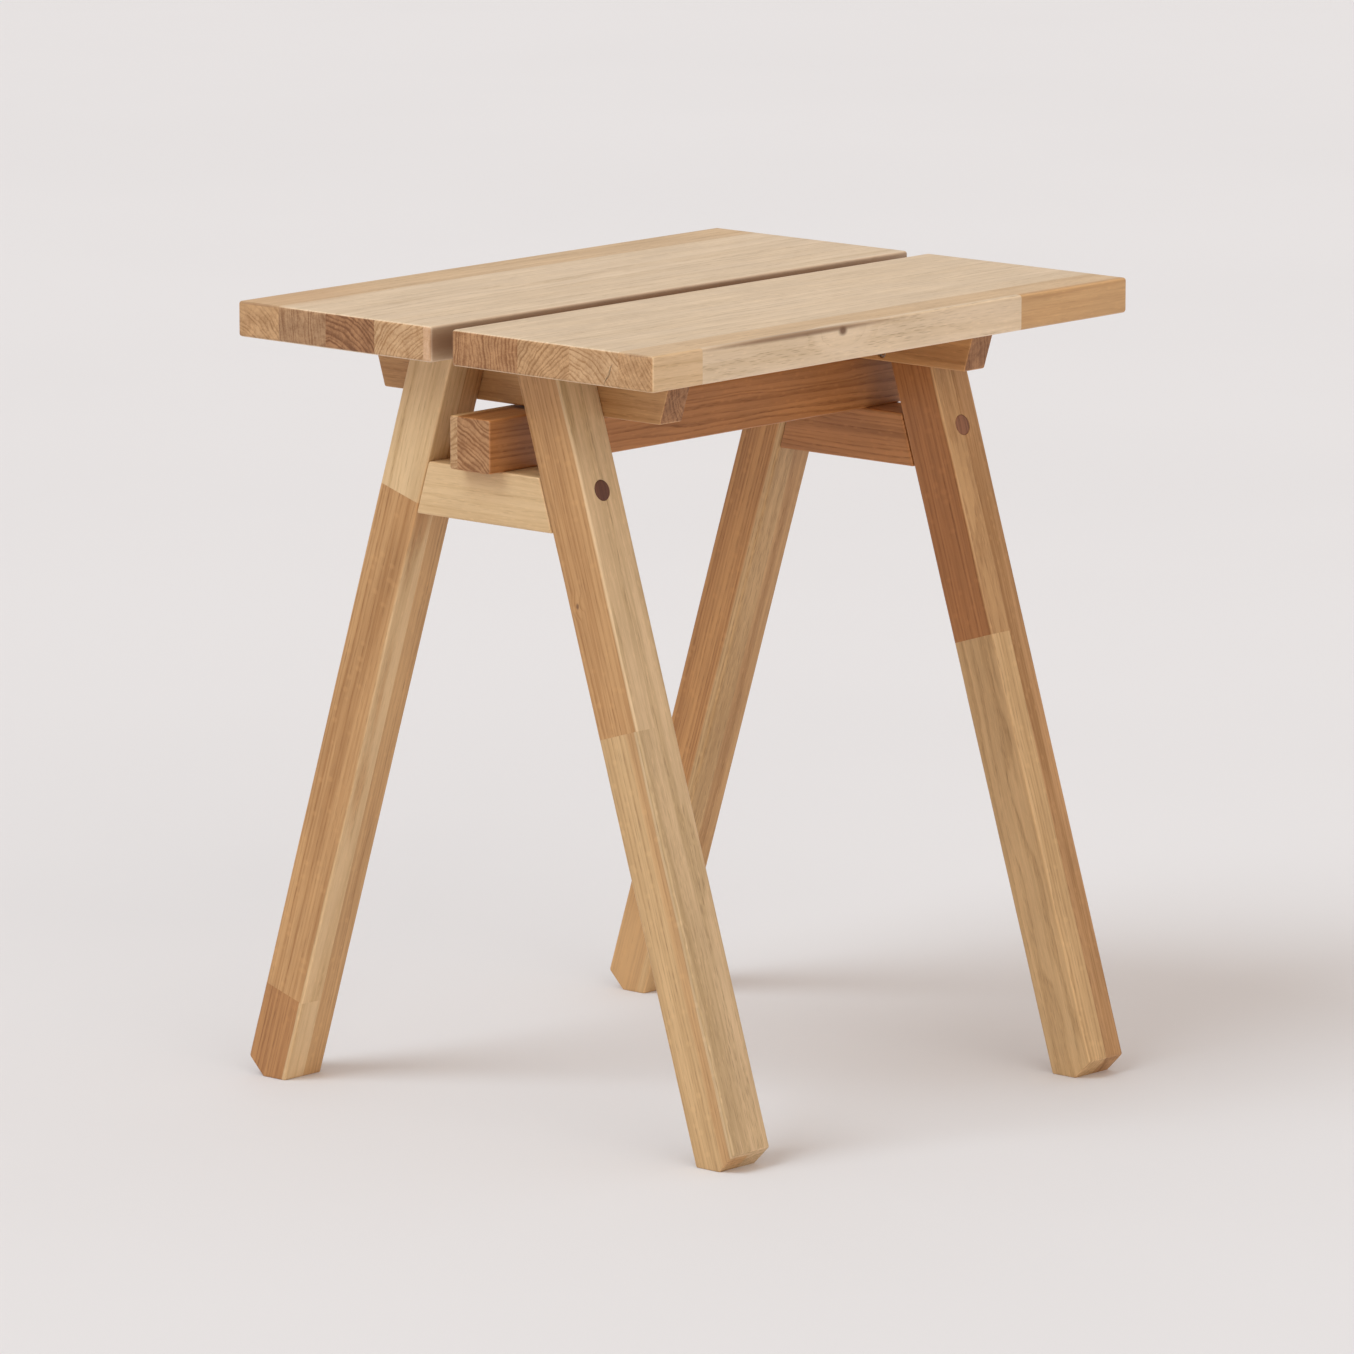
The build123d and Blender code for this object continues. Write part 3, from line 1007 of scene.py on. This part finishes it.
@dataclass
class SeatBoard:
    """One seat board, glued up from staves that run along X.

    Attributes:
        staves: Node of each stave, from the gap outwards, with its wood.
        cracks: Cracks in the staves' left ends, by node.
        easing: Radius of the board's long edges.
        end_easing: Radius of the rims of its ends.
    """

    staves: dict[str, Oak]
    cracks: dict[str, Crack] = field(default_factory=dict)
    easing: float = 2.0 * MM
    end_easing: float = 1.75 * MM

    def build(self) -> None:
        """Make, dress and report every stave."""
        boxes = {name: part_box(name) for name in self.staves}
        low = np.min([box[0] for box in boxes.values()], axis=0)
        high = np.max([box[1] for box in boxes.values()], axis=0)
        for name, oak in self.staves.items():
            piece = self.stave(name, boxes[name], low, high, oak.seed)
            if name in self.cracks:
                cut_away(piece, [self.cracks[name].cutter(low[0])])
            finish_piece(piece, oak, ALONG_SEAT, "seat_oak", name)

    def stave(
        self, name: str, box: Box, low: np.ndarray, high: np.ndarray, seed: float,
    ) -> bpy.types.Object:
        """Make one stave, with eased edges only where the board's own faces are.

        Args:
            name: Name of the piece.
            box: Its lowest and highest corner.
            low: The board's lowest corner.
            high: The board's highest corner.
            seed: Sets how the sanding wanders.

        Returns:
            The piece.
        """
        start, stop = (np.array(corner) for corner in box)
        tiny = 0.01 * MM
        free = (start[1] < low[1] + tiny, stop[1] > high[1] - tiny, True, True)
        section = Section(tuple(start[1:]), tuple(stop[1:]), self.easing, free, columns=10, levels=6)
        ends = (
            square_cut(start[0], self.end_easing if start[0] < low[0] + tiny else 0.0),
            square_cut(stop[0], self.end_easing if stop[0] > high[0] - tiny else 0.0),
        )
        return bar_along_x(name, section, ends, seed)


# --- Trestles ---


def leg_grain(side: Side) -> Vector:
    """Direction up a leg, which leans towards the middle of the stool."""
    return Vector((0, -side.value * math.sin(SPLAY), math.cos(SPLAY)))


@dataclass(frozen=True)
class LegLength:
    """One length of a leg's lamination, between two square end joints.

    Attributes:
        node: Its node in the frame.
        oak: Its wood.
        low: Height of its lower joint at the leg's middle, or None at the foot.
        high: Height of its upper joint, or None at the top.
    """

    node: str
    oak: Oak
    low: float | None = None
    high: float | None = None


@dataclass
class Leg:
    """A splayed leg of two laminations, bevelled at the outer side of the foot.

    Attributes:
        hand: Which end it stands at.
        side: Front or back.
        lengths: Its lengths of lamination.
        easing: Radius of its long edges.
        foot_bevel: Rise of the bevel at the foot.
        foot_easing: Radius of the foot's rim.
        stock: Side of its square section.
    """

    hand: Hand
    side: Side
    lengths: list[LegLength]
    easing: float = 2.0 * MM
    foot_bevel: float = 11.0 * MM
    foot_easing: float = 0.9 * MM
    stock: float = 30.0 * MM

    def build(self) -> None:
        """Make, dress and report every length."""
        grain = leg_grain(self.side)
        axes = grain_axes(X, X.cross(grain), grain)
        bores = [box for box in solids_in("leg_screw_plugs") if self.holds((box[0] + box[1]) / 2)]
        for length in self.lengths:
            piece = self.length(length)
            if length.high is None:
                cut_away(piece, [Plug.bore(box, self.side) for box in bores])
            finish_piece(piece, length.oak, axes, "leg_oak", length.node)

    def holds(self, spot: Vector) -> bool:
        """Whether a place lies at this leg's corner of the stool."""
        return spot.x * self.hand.value > 0 and spot.y * self.side.value > 0

    def length(self, length: LegLength) -> bpy.types.Object:
        """Make one length of lamination.

        The section's axes are X and the leg's outward normal. From a level b along that normal and a
        place s along the grain, Y is b cos(splay) - s sin(splay), to the leg's own side, and Z is
        b sin(splay) + s cos(splay). A level cut at height z is then at s = (z - b sin) / cos, and the
        foot's bevel rises at 45 degrees from the floor.

        Args:
            length: What it is.

        Returns:
            The piece.
        """
        start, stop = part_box(length.node)
        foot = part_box(self.lengths[0].node)
        sine, cosine = math.sin(SPLAY), math.cos(SPLAY)
        bevel_top = max(abs(foot[0].y), abs(foot[1].y))
        reach = bevel_top + self.foot_bevel * math.tan(SPLAY)
        outer = reach * cosine
        inner = outer - self.stock
        bevel_foot = bevel_top - self.foot_bevel
        middle = reach - self.stock / cosine / 2

        def joint(height: float) -> Cut:
            """Square end joint, at its height in the middle of the leg."""
            return square_cut(height * cosine - (middle - height * math.tan(SPLAY)) * sine)

        def foot_place(level: np.ndarray) -> np.ndarray:
            """The foot's level sole, or its bevel where that lies higher."""
            bevel = (level * (cosine - sine) - bevel_foot) / (cosine + sine)
            return np.maximum(-level * sine / cosine, bevel)

        low = joint(length.low) if length.low else Cut(foot_place, self.foot_easing)
        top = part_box(self.lengths[-1].node)[1].z
        high = joint(length.high) if length.high else Cut(lambda level: (top - level * sine) / cosine)
        free_low = (start.x + stop.x) / 2 < self.glue_place()
        section = Section(
            (start.x, inner), (stop.x, outer), self.easing, (free_low, not free_low, True, True),
            (bevel_foot * cosine,), columns=6, levels=10,
        )
        a, b, s = np.moveaxis(eased_bar(section, low, high, length.oak.seed, stations=60), -1, 0)
        side = self.side.value
        points = np.stack([a, side * (b * cosine - s * sine), b * sine + s * cosine], axis=-1)
        return new_piece(length.node, *lattice_skin(points))

    def glue_place(self) -> float:
        """Find where the two laminations meet.

        Returns:
            The place along X.
        """
        boxes = [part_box(length.node) for length in self.lengths]
        return (min(box[0].x for box in boxes) + max(box[1].x for box in boxes)) / 2


@dataclass
class Crossbar:
    """A bar across a trestle, with sloping ends: a rail or a cleat.

    Attributes:
        node: Its node in the frame.
        oak: Its wood.
        slot: Its material slot.
        widens_down: Whether its ends slope out towards its bottom, as a rail's do between the legs.
        easing: Radius of its edges.
    """

    node: str
    oak: Oak
    slot: str
    widens_down: bool
    easing: float = 1.2 * MM

    def build(self, cutters: list[bpy.types.Object]) -> None:
        """Make, cut, dress and report the bar.

        Args:
            cutters: What is cut out of it.
        """
        low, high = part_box(self.node)
        slope = math.tan(SPLAY) * (-1 if self.widens_down else 1)
        level = low.z if self.widens_down else high.z

        def end(reach: float) -> Cut:
            """Sloping end, from its reach along Y where the bar is longest."""
            outwards = 1 if reach > 0 else -1
            return Cut(lambda b: reach + outwards * (b - level) * slope, self.easing * 0.9)

        section = Section((low.x, low.z), (high.x, high.z), self.easing)
        a, b, s = np.moveaxis(eased_bar(section, end(low.y), end(high.y), self.oak.seed), -1, 0)
        piece = new_piece(self.node, *lattice_skin(np.stack([a, s, b], axis=-1)))
        cut_away(piece, cutters)
        finish_piece(piece, self.oak, ACROSS_SEAT, self.slot, self.node)


@dataclass
class Beam:
    """The long beam that lies on both rails, of a thick and a thin lamination.

    Attributes:
        laminations: Wood of each lamination, by node.
        easing: Radius of its long edges.
        end_easing: Radius of the rims of its ends.
    """

    laminations: dict[str, Oak]
    easing: float = 1.5 * MM
    end_easing: float = 1.3 * MM

    def build(self) -> None:
        """Make, dress and report both laminations."""
        for node, oak in self.laminations.items():
            low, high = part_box(node)
            thin = high.y - low.y < high.z - low.z - 10 * MM
            free = (not thin, thin, True, True)
            section = Section(tuple(low)[1:], tuple(high)[1:], self.easing, free)
            ends = square_cut(low.x, self.end_easing), square_cut(high.x, self.end_easing)
            piece = bar_along_x(node, section, ends, oak.seed)
            finish_piece(piece, oak, ALONG_SEAT, "beam_oak", node)


# --- Fixings ---


@dataclass
class Plug:
    """A round wooden plug over a leg screw, with a slight crown.

    Attributes:
        name: Name of the piece.
        box: Box of its solid in the frame.
        side: Front or back.
        oak: Its wood.
        fit: Gap round it.
        crown: How far its middle stands above its rim.
    """

    name: str
    box: Box
    side: Side
    oak: Oak
    fit: float = 0.12 * MM
    crown: float = 0.25 * MM

    @staticmethod
    def shape(box: Box, side: Side) -> tuple[np.ndarray, np.ndarray, float, float]:
        """Work out a plug from the box of its tilted solid.

        The box is as wide as the plug along X. Across Y it reaches length * cos + diameter * sin.

        Args:
            box: The box.
            side: Front or back.

        Returns:
            The plug's middle, its axis, its radius and its length.
        """
        middle = np.array((box[0] + box[1]) / 2)
        axis = np.array([0.0, side.value * math.cos(SPLAY), math.sin(SPLAY)])
        size = box[1] - box[0]
        radius = size.x / 2
        return middle, axis, radius, (size.y - size.x * math.sin(SPLAY)) / math.cos(SPLAY)

    @staticmethod
    def bore(box: Box, side: Side) -> bpy.types.Object:
        """Make a cutter for a plug's bore, with a slight flare at its mouth.

        Args:
            box: Box of the plug's solid.
            side: Front or back.

        Returns:
            The cutter.
        """
        middle, axis, radius, length = Plug.shape(box, side)
        half, over = length / 2, 3 * MM
        flare = 0.15 * MM
        profile = np.array([
            (0, -half), (radius, -half), (radius, half - flare), (radius + flare, half),
            (radius + flare + over, half + over), (0, half + over),
        ])
        return new_piece("bore", *turned_skin(profile, middle, axis, 64))

    def build(self) -> None:
        """Turn, dress and report the plug.

        Its face is a shallow dome: height falls with the square of the radius, then drops round a
        small quarter circle at the rim.
        """
        middle, axis, radius, length = self.shape(self.box, self.side)
        radius -= self.fit
        rim = 0.35 * MM
        turn = np.linspace(0, np.pi / 2, 6)
        spread = np.linspace(0, radius - rim, 9)
        sunk = 0.1 * MM
        top = length / 2 - sunk
        dome = np.stack([spread, top + self.crown * (1 - (spread / radius) ** 2)], axis=1)
        edge_height = dome[-1, 1]
        edge = np.stack([radius - rim * (1 - np.sin(turn)), edge_height - rim * (1 - np.cos(turn))], axis=1)
        side = np.array([(radius, -top), (0.0, -top)])
        profile = np.concatenate([dome, edge[1:], side])
        piece = new_piece(self.name, *turned_skin(profile, middle, axis, 64))
        axes = grain_axes(Vector(axis), X, leg_grain(self.side))
        finish_piece(piece, self.oak, axes, "plug_wood", "leg_screw_plugs")


@dataclass(frozen=True)
class Steel:
    """Bright zinc-plated steel with fine turning marks and a few dull patches.

    Attributes:
        bright: Colour of the plating.
        dull: Colour of the dull patches.
    """

    bright: Colour = (0.62, 0.62, 0.60)
    dull: Colour = (0.38, 0.37, 0.35)

    def material(self) -> bpy.types.Material:
        """Make the steel's material.

        Returns:
            The material.
        """
        material, g = new_material("screw_steel")
        source = g.add("TexCoord").outputs["Object"]
        place = g.add("Mapping", {"Vector": source, "Scale": (MM, MM, MM)}, vector_type="TEXTURE").outputs[0]
        patches = g.ramp(g.noise(place, (1.4, 1.4, 1.4), detail=4.0), 0.42, 0.66)
        marks = g.noise(place, (0.08, 1.6, 0.08), detail=2.0)
        rough = g.multiply_add(patches, 0.22, g.multiply_add(marks, 0.12, 0.22))
        bump = g.add("Bump", {"Height": marks, "Distance": 0.01 * MM, "Strength": 0.6})
        shader = g.add("BsdfPrincipled", {
            "Base Color": g.mix(patches, self.bright, self.dull), "Metallic": 1.0, "Roughness": rough,
            "Normal": bump.outputs[0],
        })
        g.add("OutputMaterial", {"Surface": shader.outputs[0]})
        return material


@dataclass
class Screws:
    """The screws, which the frame already has in their true shape.

    Attributes:
        nodes: Their nodes.
        finish: Their finish.
    """

    nodes: tuple[str, ...] = ("leg_screws", "cleat_to_leg_screws", "cleat_to_seat_screws", "beam_screws")
    finish: Steel = field(default_factory=Steel)

    def build(self) -> None:
        """Dress and report the screws."""
        material = self.finish.material()
        for node in self.nodes:
            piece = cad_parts[node]
            if not piece.material_slots:
                piece.data.materials.append(material)
            for slot in piece.material_slots:
                slot.material = material
            log.info("%s: dressed in steel", node)


@dataclass
class ScrewHoles:
    """Cutters for the screw holes of the rails and cleats.

    Attributes:
        fit: Gap round a screw's head.
        over: How far a cutter runs out of the wood.
        recess: Radius of the recess under a seat screw.
        flare: How much wider a beam screw's mouth is than its seat.
        leg_rim: Depth of a leg screw's seat.
        rim: Depth of the other screws' seats.
    """

    fit: float = 0.15 * MM
    over: float = 3.0 * MM
    recess: float = 4.5 * MM
    flare: float = 0.1 * MM
    leg_rim: float = 0.5 * MM
    rim: float = 0.6 * MM

    def in_cleat(self, node: str) -> list[bpy.types.Object]:
        """Make cutters for the screws into the legs and up into the seat.

        Args:
            node: The cleat.

        Returns:
            The cutters.
        """
        low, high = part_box(node)
        right = low.x > 0
        inwards = (-1.0 if right else 1.0, 0.0, 0.0)
        cutters = []
        for start, stop in self.screws_at(node, "cleat_to_leg_screws"):
            middle = (start + stop) / 2
            head = Vector((start.x if right else stop.x, middle.y, middle.z))
            radius = (stop.y - start.y) / 2 + self.fit
            depth = abs((low.x if right else high.x) - head.x) + self.over
            cutters.append(drill(head, inwards, radius, depth, radius * 0.995, self.leg_rim))
        for head, radius in self.upward_heads(node, "cleat_to_seat_screws"):
            depth = head.z - low.z + self.over
            cutters.append(drill(head, (0, 0, -1), self.recess, depth, radius, self.rim))
        return cutters

    def in_rail(self, node: str) -> list[bpy.types.Object]:
        """Make the cutter for the screw up into the beam.

        Args:
            node: The rail.

        Returns:
            The cutter, in a list.
        """
        return [
            drill(head, (0, 0, -1), radius + self.flare, self.over, radius, self.rim)
            for head, radius in self.upward_heads(node, "beam_screws")
        ]

    def upward_heads(self, node: str, screws: str) -> list[tuple[Vector, float]]:
        """Find the heads of the screws that are driven up through a bar.

        Args:
            node: The bar.
            screws: Node of the screws.

        Returns:
            Middle of each head's underside, and its radius with the gap round it.
        """
        heads = []
        for start, stop in self.screws_at(node, screws):
            middle = (start + stop) / 2
            heads.append((Vector((middle.x, middle.y, start.z)), (stop.x - start.x) / 2 + self.fit))
        return heads

    @staticmethod
    def screws_at(node: str, screws: str) -> list[Box]:
        """Boxes of the screws that are at a bar's own end of the stool."""
        low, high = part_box(node)
        return [box for box in solids_in(screws) if (box[0].x + box[1].x) * (low.x + high.x) > 0]


# --- Studio ---


@dataclass(frozen=True)
class Lamp:
    """A broad light that shines in one direction.

    Attributes:
        name: Its name.
        travel: Direction in which it shines.
        colour: Its colour.
        strength: Its strength.
        softness: Angle that it fills, in degrees.
    """

    name: str
    travel: Triple
    colour: Colour
    strength: float
    softness: float

    def hang(self) -> None:
        """Put the light into the scene."""
        lamp = bpy.data.lights.new(self.name, "SUN")
        lamp.energy = self.strength
        lamp.angle = math.radians(self.softness)
        lamp.color = self.colour
        light = bpy.data.objects.new(self.name, lamp)
        light.rotation_euler = Vector(self.travel).to_track_quat("-Z", "Y").to_euler()
        bpy.context.scene.collection.objects.link(light)


@dataclass
class Studio:
    """Pale floor, soft light and the camera.

    Attributes:
        floor_half: Half the floor's width.
        floor_colour: Its colour.
        sky: Colour of the light from all round.
        sky_strength: Its strength.
        lamps: The broad lights: from the left, from the front and from above.
        aim: Where the camera points.
        distance: How far away it stands.
        azimuth: Its bearing: 0 looks along +Y, and the angle grows anticlockwise.
        elevation: How far it stands above the aim, as an angle.
        lens: Focal length in millimetres.
    """

    floor_half: float = 30.0
    floor_colour: Colour = (0.785, 0.772, 0.782)
    sky: Colour = (1.0, 0.90, 0.83)
    sky_strength: float = 0.40
    lamps: tuple[Lamp, ...] = (
        Lamp("key", (0.62, -0.17, -0.77), (0.80, 0.92, 1.0), 1.42, 34.0),
        Lamp("fill", (0.34, 0.89, -0.29), (1.0, 0.97, 0.92), 0.90, 60.0),
        Lamp("top", (0.0, 0.0, -1.0), (1.0, 0.91, 0.85), 0.85, 150.0),
    )
    aim: Triple = (0.0, 0.007, 0.2281)
    distance: float = 5.255
    azimuth: float = math.radians(-48.114)
    elevation: float = math.radians(10.612)
    lens: float = 247.4

    def build(self) -> None:
        """Set up floor, light and camera."""
        self.lay_floor()
        self.light_sky()
        for lamp in self.lamps:
            lamp.hang()
        self.stand_camera()
        bpy.context.scene.view_settings.view_transform = "Standard"
        log.info("studio: floor, light and camera")

    def lay_floor(self) -> None:
        """Lay a flat sheet under the feet, whose colour wanders very slightly."""
        line = np.linspace(-self.floor_half, self.floor_half, 9)
        grid = np.stack(np.meshgrid(line, line, [0.0, -0.01], indexing="ij"), axis=-1)
        floor = new_piece("floor", *lattice_skin(grid))
        material, g = new_material("pale_floor")
        place = g.add("TexCoord").outputs["Object"]
        wander = g.add("TexNoise", {"Vector": place, "Scale": 1.3, "Detail": 3.0}).outputs[0]
        darker = tuple(0.985 * c for c in self.floor_colour)
        colour = g.mix(g.ramp(wander, 0.3, 0.7), self.floor_colour, darker)
        shader = g.add("BsdfPrincipled", {"Base Color": colour, "Roughness": 0.75, "Specular IOR Level": 0.2})
        g.add("OutputMaterial", {"Surface": shader.outputs[0]})
        floor.data.materials.append(material)

    def light_sky(self) -> None:
        """Light from all round."""
        world = bpy.data.worlds.new("sky")
        world.use_nodes = True
        g = Graph(world.node_tree)
        g.tree.nodes.clear()
        sky = g.add("Background", {"Color": self.sky, "Strength": self.sky_strength})
        g.add("OutputWorld", {"Surface": sky.outputs[0]})
        bpy.context.scene.world = world

    def stand_camera(self) -> None:
        """Stand the camera at its angle, and make it the scene's."""
        lens = bpy.data.cameras.new("camera")
        lens.lens = self.lens
        lens.sensor_width = 36.0
        lens.clip_end = 200.0
        camera = bpy.data.objects.new("camera", lens)
        level = math.cos(self.elevation)
        away = Vector((
            math.sin(self.azimuth) * level, -math.cos(self.azimuth) * level, math.sin(self.elevation),
        ))
        camera.location = Vector(self.aim) + away * self.distance
        camera.rotation_euler = (-away).to_track_quat("-Z", "Y").to_euler()
        bpy.context.scene.collection.objects.link(camera)
        bpy.context.scene.camera = camera


# --- The stool ---


def seat_boards() -> list[SeatBoard]:
    """Choose the wood of every stave.

    Returns:
        Both boards.
    """
    def stave(
        seed: float, pith: tuple[float, float], end_tone: Tone, tone: Tone = Tone.SEAT, **more: object,
    ) -> Oak:
        """One stave in the seat's shared tone, unless it has one of its own."""
        return Oak(tone, seed, pith, end_tone=end_tone, roughness=0.38, streaks=1.1, drift=1.3, **more)

    def gap_shade(place: float) -> Spot:
        """Painted shade on a board's side in the gap, a dark band where the boards shade each other."""
        return Spot((0.0, place, 0.441), (0.60, 0.0020, 0.0170), (0.20, 0.085, 0.036), 0.85)

    deep_brown = (0.20, 0.10, 0.045)
    # A tan patch on the top near the back board's left corner, and painted shade: a dark line along the top
    # arris of its left end.
    far_corner_patch_and_shade = (
        Spot((-0.175, 0.150, 0.450), (0.090, 0.045, 0.010), (0.60, 0.355, 0.17), 0.55),
        Spot((-0.1995, 0.140, 0.4495), (0.0016, 0.030, 0.0014), deep_brown, 0.6),
    )
    back = {
        "back_board_stave_1": stave(
            1.1, (60, 10), Tone.END_CREAM, ring_width=3.2, rings=0.4, spots=(gap_shade(7.5 * MM),),
        ),
        "back_board_stave_2": stave(2.3, (-34, -34), Tone.END_PALE, lean=(0.4, 0.3), ring_width=2.4),
        "back_board_stave_3": stave(3.7, (18, -38), Tone.END_BROWN, lean=(0.5, 0.2), ring_width=2.8),
        "back_board_stave_4": stave(
            4.2, (85, -12), Tone.END_GREY, lean=(0.2, 0.4), ring_width=2.6, spots=far_corner_patch_and_shade,
        ),
        "back_board_stave_5": stave(
            5.9, (40, -60), Tone.END_TAN, Tone.OAT, lean=(0.3, 0.1), ring_width=2.9, rings=0.5,
            spots=far_corner_patch_and_shade,
        ),
    }
    edge_streak = Spot((-0.080, -0.1547, 0.4488), (0.110, 0.0040, 0.0026), deep_brown, 0.8)
    # Painted shade: a dark line along the top arris of the front board's left end.
    rim_shade_line = Spot((-0.1995, -0.142, 0.4495), (0.0016, 0.016, 0.0014), deep_brown, 0.5)
    knot = Spot((-0.045, -0.155, 0.4468), (0.0048, 0.004, 0.0036), swell=4.0)
    front = {
        "front_board_stave_1": stave(
            6.4, (80, 4), Tone.END_RUST, ring_width=2.3, spots=(gap_shade(-7.5 * MM),),
        ),
        "front_board_stave_2": stave(7.8, (-85, 6), Tone.END_RUST, lean=(0.2, 0.2), ring_width=2.6),
        "front_board_stave_3": stave(8.3, (-40, -40), Tone.END_TAN, lean=(0.3, 0.4), ring_width=2.4),
        "front_board_stave_4": stave(9.1, (30, -44), Tone.END_PALE, lean=(0.5, 0.1), ring_width=2.9),
        "front_board_stave_5_left": stave(
            10.6, (-50, 30), Tone.END_TAN, Tone.OAT, lean=(0.6, 0.5), ring_width=2.5, rings=0.5,
            spots=(rim_shade_line,),
        ),
        "front_board_stave_5_middle": stave(
            11.2, (60, 6), Tone.END_TAN, Tone.OAT, lean=(0.0, 0.2), ring_width=3.1, rings=0.5, wander=3.0,
            bands=(Band(Tone.SEAT, 69.5),), spots=(edge_streak, knot),
        ),
        "front_board_stave_5_right": stave(
            12.9, (60, 0), Tone.END_TAN, Tone.OAT, ring_width=2.7, wander=3.0, bands=(Band(Tone.TAN, 70.0),),
        ),
    }
    crack = Crack((-0.1262, 0.4435), (-0.1200, 0.4315))
    return [SeatBoard(back), SeatBoard(front, {"front_board_stave_4": crack})]


def legs() -> list[Leg]:
    """Choose the wood of every length of leg, and the heights of their end joints.

    Returns:
        The four legs.
    """
    sap_inside = (Band(Tone.CREAM, 73.0),)
    dark_brown = (0.16, 0.07, 0.03)
    pin_knot = Spot((-0.167, -0.070, 0.300), (0.003, 0.0016, 0.0024), dark_brown, 0.85, 2.5)
    small_mark = Spot((0.1465, -0.1436, 0.1414), (0.0016, 0.003, 0.0022), dark_brown, 0.7)
    pale_foot = Spot((0.137, 0.175, 0.012), (0.060, 0.060, 0.110), (0.60, 0.37, 0.17), 0.6)
    foot_joint, head_joint = 0.051, 0.348
    left_back = [
        LegLength(
            "left_back_leg_outer_foot",
            Oak(Tone.BROWN, 21.3, (0, 60), wander=2.0, bands=sap_inside), high=foot_joint,
        ),
        LegLength(
            "left_back_leg_outer_middle",
            Oak(Tone.HONEY, 22.7, (0, 60), (0.3, 0.4), wander=4.5, streaks=0.9, drift=2.4, bands=sap_inside),
            foot_joint, head_joint,
        ),
        LegLength("left_back_leg_inner", Oak(Tone.TAN, 24.4, (64, 10))),
        LegLength("left_back_leg_outer_top", Oak(Tone.CREAM, 23.1, (-40, 30)), head_joint),
    ]
    left_joint = 0.232
    left_front = [
        LegLength(
            "left_front_leg_outer_bottom",
            Oak(Tone.TAN, 25.2, (0, 60), wander=2.0, bands=(Band(Tone.PALE, 0, 66), Band(Tone.SAND, 73.5))),
            high=left_joint,
        ),
        LegLength("left_front_leg_inner", Oak(Tone.SAND, 27.5, (20, 80), pores=0.8)),
        LegLength(
            "left_front_leg_outer_top",
            Oak(Tone.HONEY, 26.6, (0, 60), wander=2.0, bands=(Band(Tone.SAND, 73.5),), spots=(pin_knot,)),
            left_joint,
        ),
    ]
    right_back = [
        LegLength("right_back_leg_outer", Oak(Tone.TAN, 28.8, (30, 60))),
        LegLength("right_back_leg_inner", Oak(
            Tone.AMBER, 29.4, (0, 60), (0.3, 0.2), wander=2.0, streaks=1.3, drift=2.2,
            bands=(Band(Tone.PALE, 69.5),), spots=(pale_foot,),
        )),
    ]
    right_joint = 0.244
    right_front = [
        LegLength("right_front_leg_inner_bottom", Oak(Tone.PALE, 31.7, (-60, -20)), high=right_joint),
        LegLength("right_front_leg_outer", Oak(
            Tone.GINGER, 33.3, (-62, 12), (0.6, 0.3), drift=2.2, spots=(small_mark,),
        )),
        LegLength(
            "right_front_leg_inner_top",
            Oak(Tone.RUST, 32.5, (0, 60), wander=3.0, streaks=0.8, bands=(Band(Tone.TAN, 73.5),)),
            right_joint,
        ),
    ]
    return [
        Leg(Hand.LEFT, Side.BACK, left_back),
        Leg(Hand.LEFT, Side.FRONT, left_front),
        Leg(Hand.RIGHT, Side.BACK, right_back),
        Leg(Hand.RIGHT, Side.FRONT, right_front),
    ]


def rails() -> list[Crossbar]:
    """Choose the wood of the rails.

    Returns:
        The left and the right rail.
    """
    return [
        Crossbar("left_rail", Oak(Tone.CREAM, 41.1, (10, -90), rings=0.45), "rail_oak", True),
        Crossbar("right_rail", Oak(Tone.RUST, 42.8, (60, -50), streaks=0.7), "rail_oak", True),
    ]


def cleats() -> list[Crossbar]:
    """Choose the wood of the cleats.

    Returns:
        The left and the right cleat.
    """
    # END_BROWN darkens the cleats' sloping ends: partly their darker end grain, partly painted shade under
    # the seat's overhang.
    left = Oak(Tone.HONEY, 43.6, (30, 60), rings=0.4, end_tone=Tone.END_BROWN)
    right = Oak(Tone.AMBER, 44.9, (-30, -60), rings=0.4, streaks=0.8, end_tone=Tone.END_BROWN)
    return [
        Crossbar("left_cleat", left, "cleat_oak", False),
        Crossbar("right_cleat", right, "cleat_oak", False),
    ]


def beam() -> Beam:
    """Choose the wood of the beam.

    Returns:
        The beam.
    """
    return Beam({
        "beam_main_lamination": Oak(
            Tone.RUST, 45.2, (34, -62), (0.5, 0.4), ring_width=2.7, rings=0.9, streaks=0.7,
            end_tone=Tone.END_RUST,
        ),
        "beam_thin_lamination": Oak(Tone.PALE, 46.7, (30, 60), end_tone=Tone.END_PALE),
    })


def plugs() -> list[Plug]:
    """Find the plugs by their places in the frame, and choose their wood.

    Returns:
        The four plugs.
    """
    woods = {
        Hand.LEFT: Oak(Tone.WALNUT, 51.0, (30, 40), ring_width=1.6, pores=0.8),
        Hand.RIGHT: Oak(Tone.CHESTNUT, 52.0, (-30, 40), ring_width=1.6, pores=0.8),
    }
    made = []
    for box in solids_in("leg_screw_plugs"):
        middle = (box[0] + box[1]) / 2
        side = Side.BACK if middle.y > 0 else Side.FRONT
        hand = Hand.RIGHT if middle.x > 0 else Hand.LEFT
        made.append(Plug(f"{hand.name.lower()}_{side.name.lower()}_plug", box, side, woods[hand]))
    return made


def main() -> None:
    """Build and dress the whole stool, then the studio round it."""
    for board in seat_boards():
        board.build()
    for leg in legs():
        leg.build()
    holes = ScrewHoles()
    for rail in rails():
        rail.build(holes.in_rail(rail.node))
    for cleat in cleats():
        cleat.build(holes.in_cleat(cleat.node))
    beam().build()
    for plug in plugs():
        plug.build()
    Screws().build()
    Studio().build()


if __name__ == "__main__":
    logging.basicConfig(level=logging.INFO)
    main()
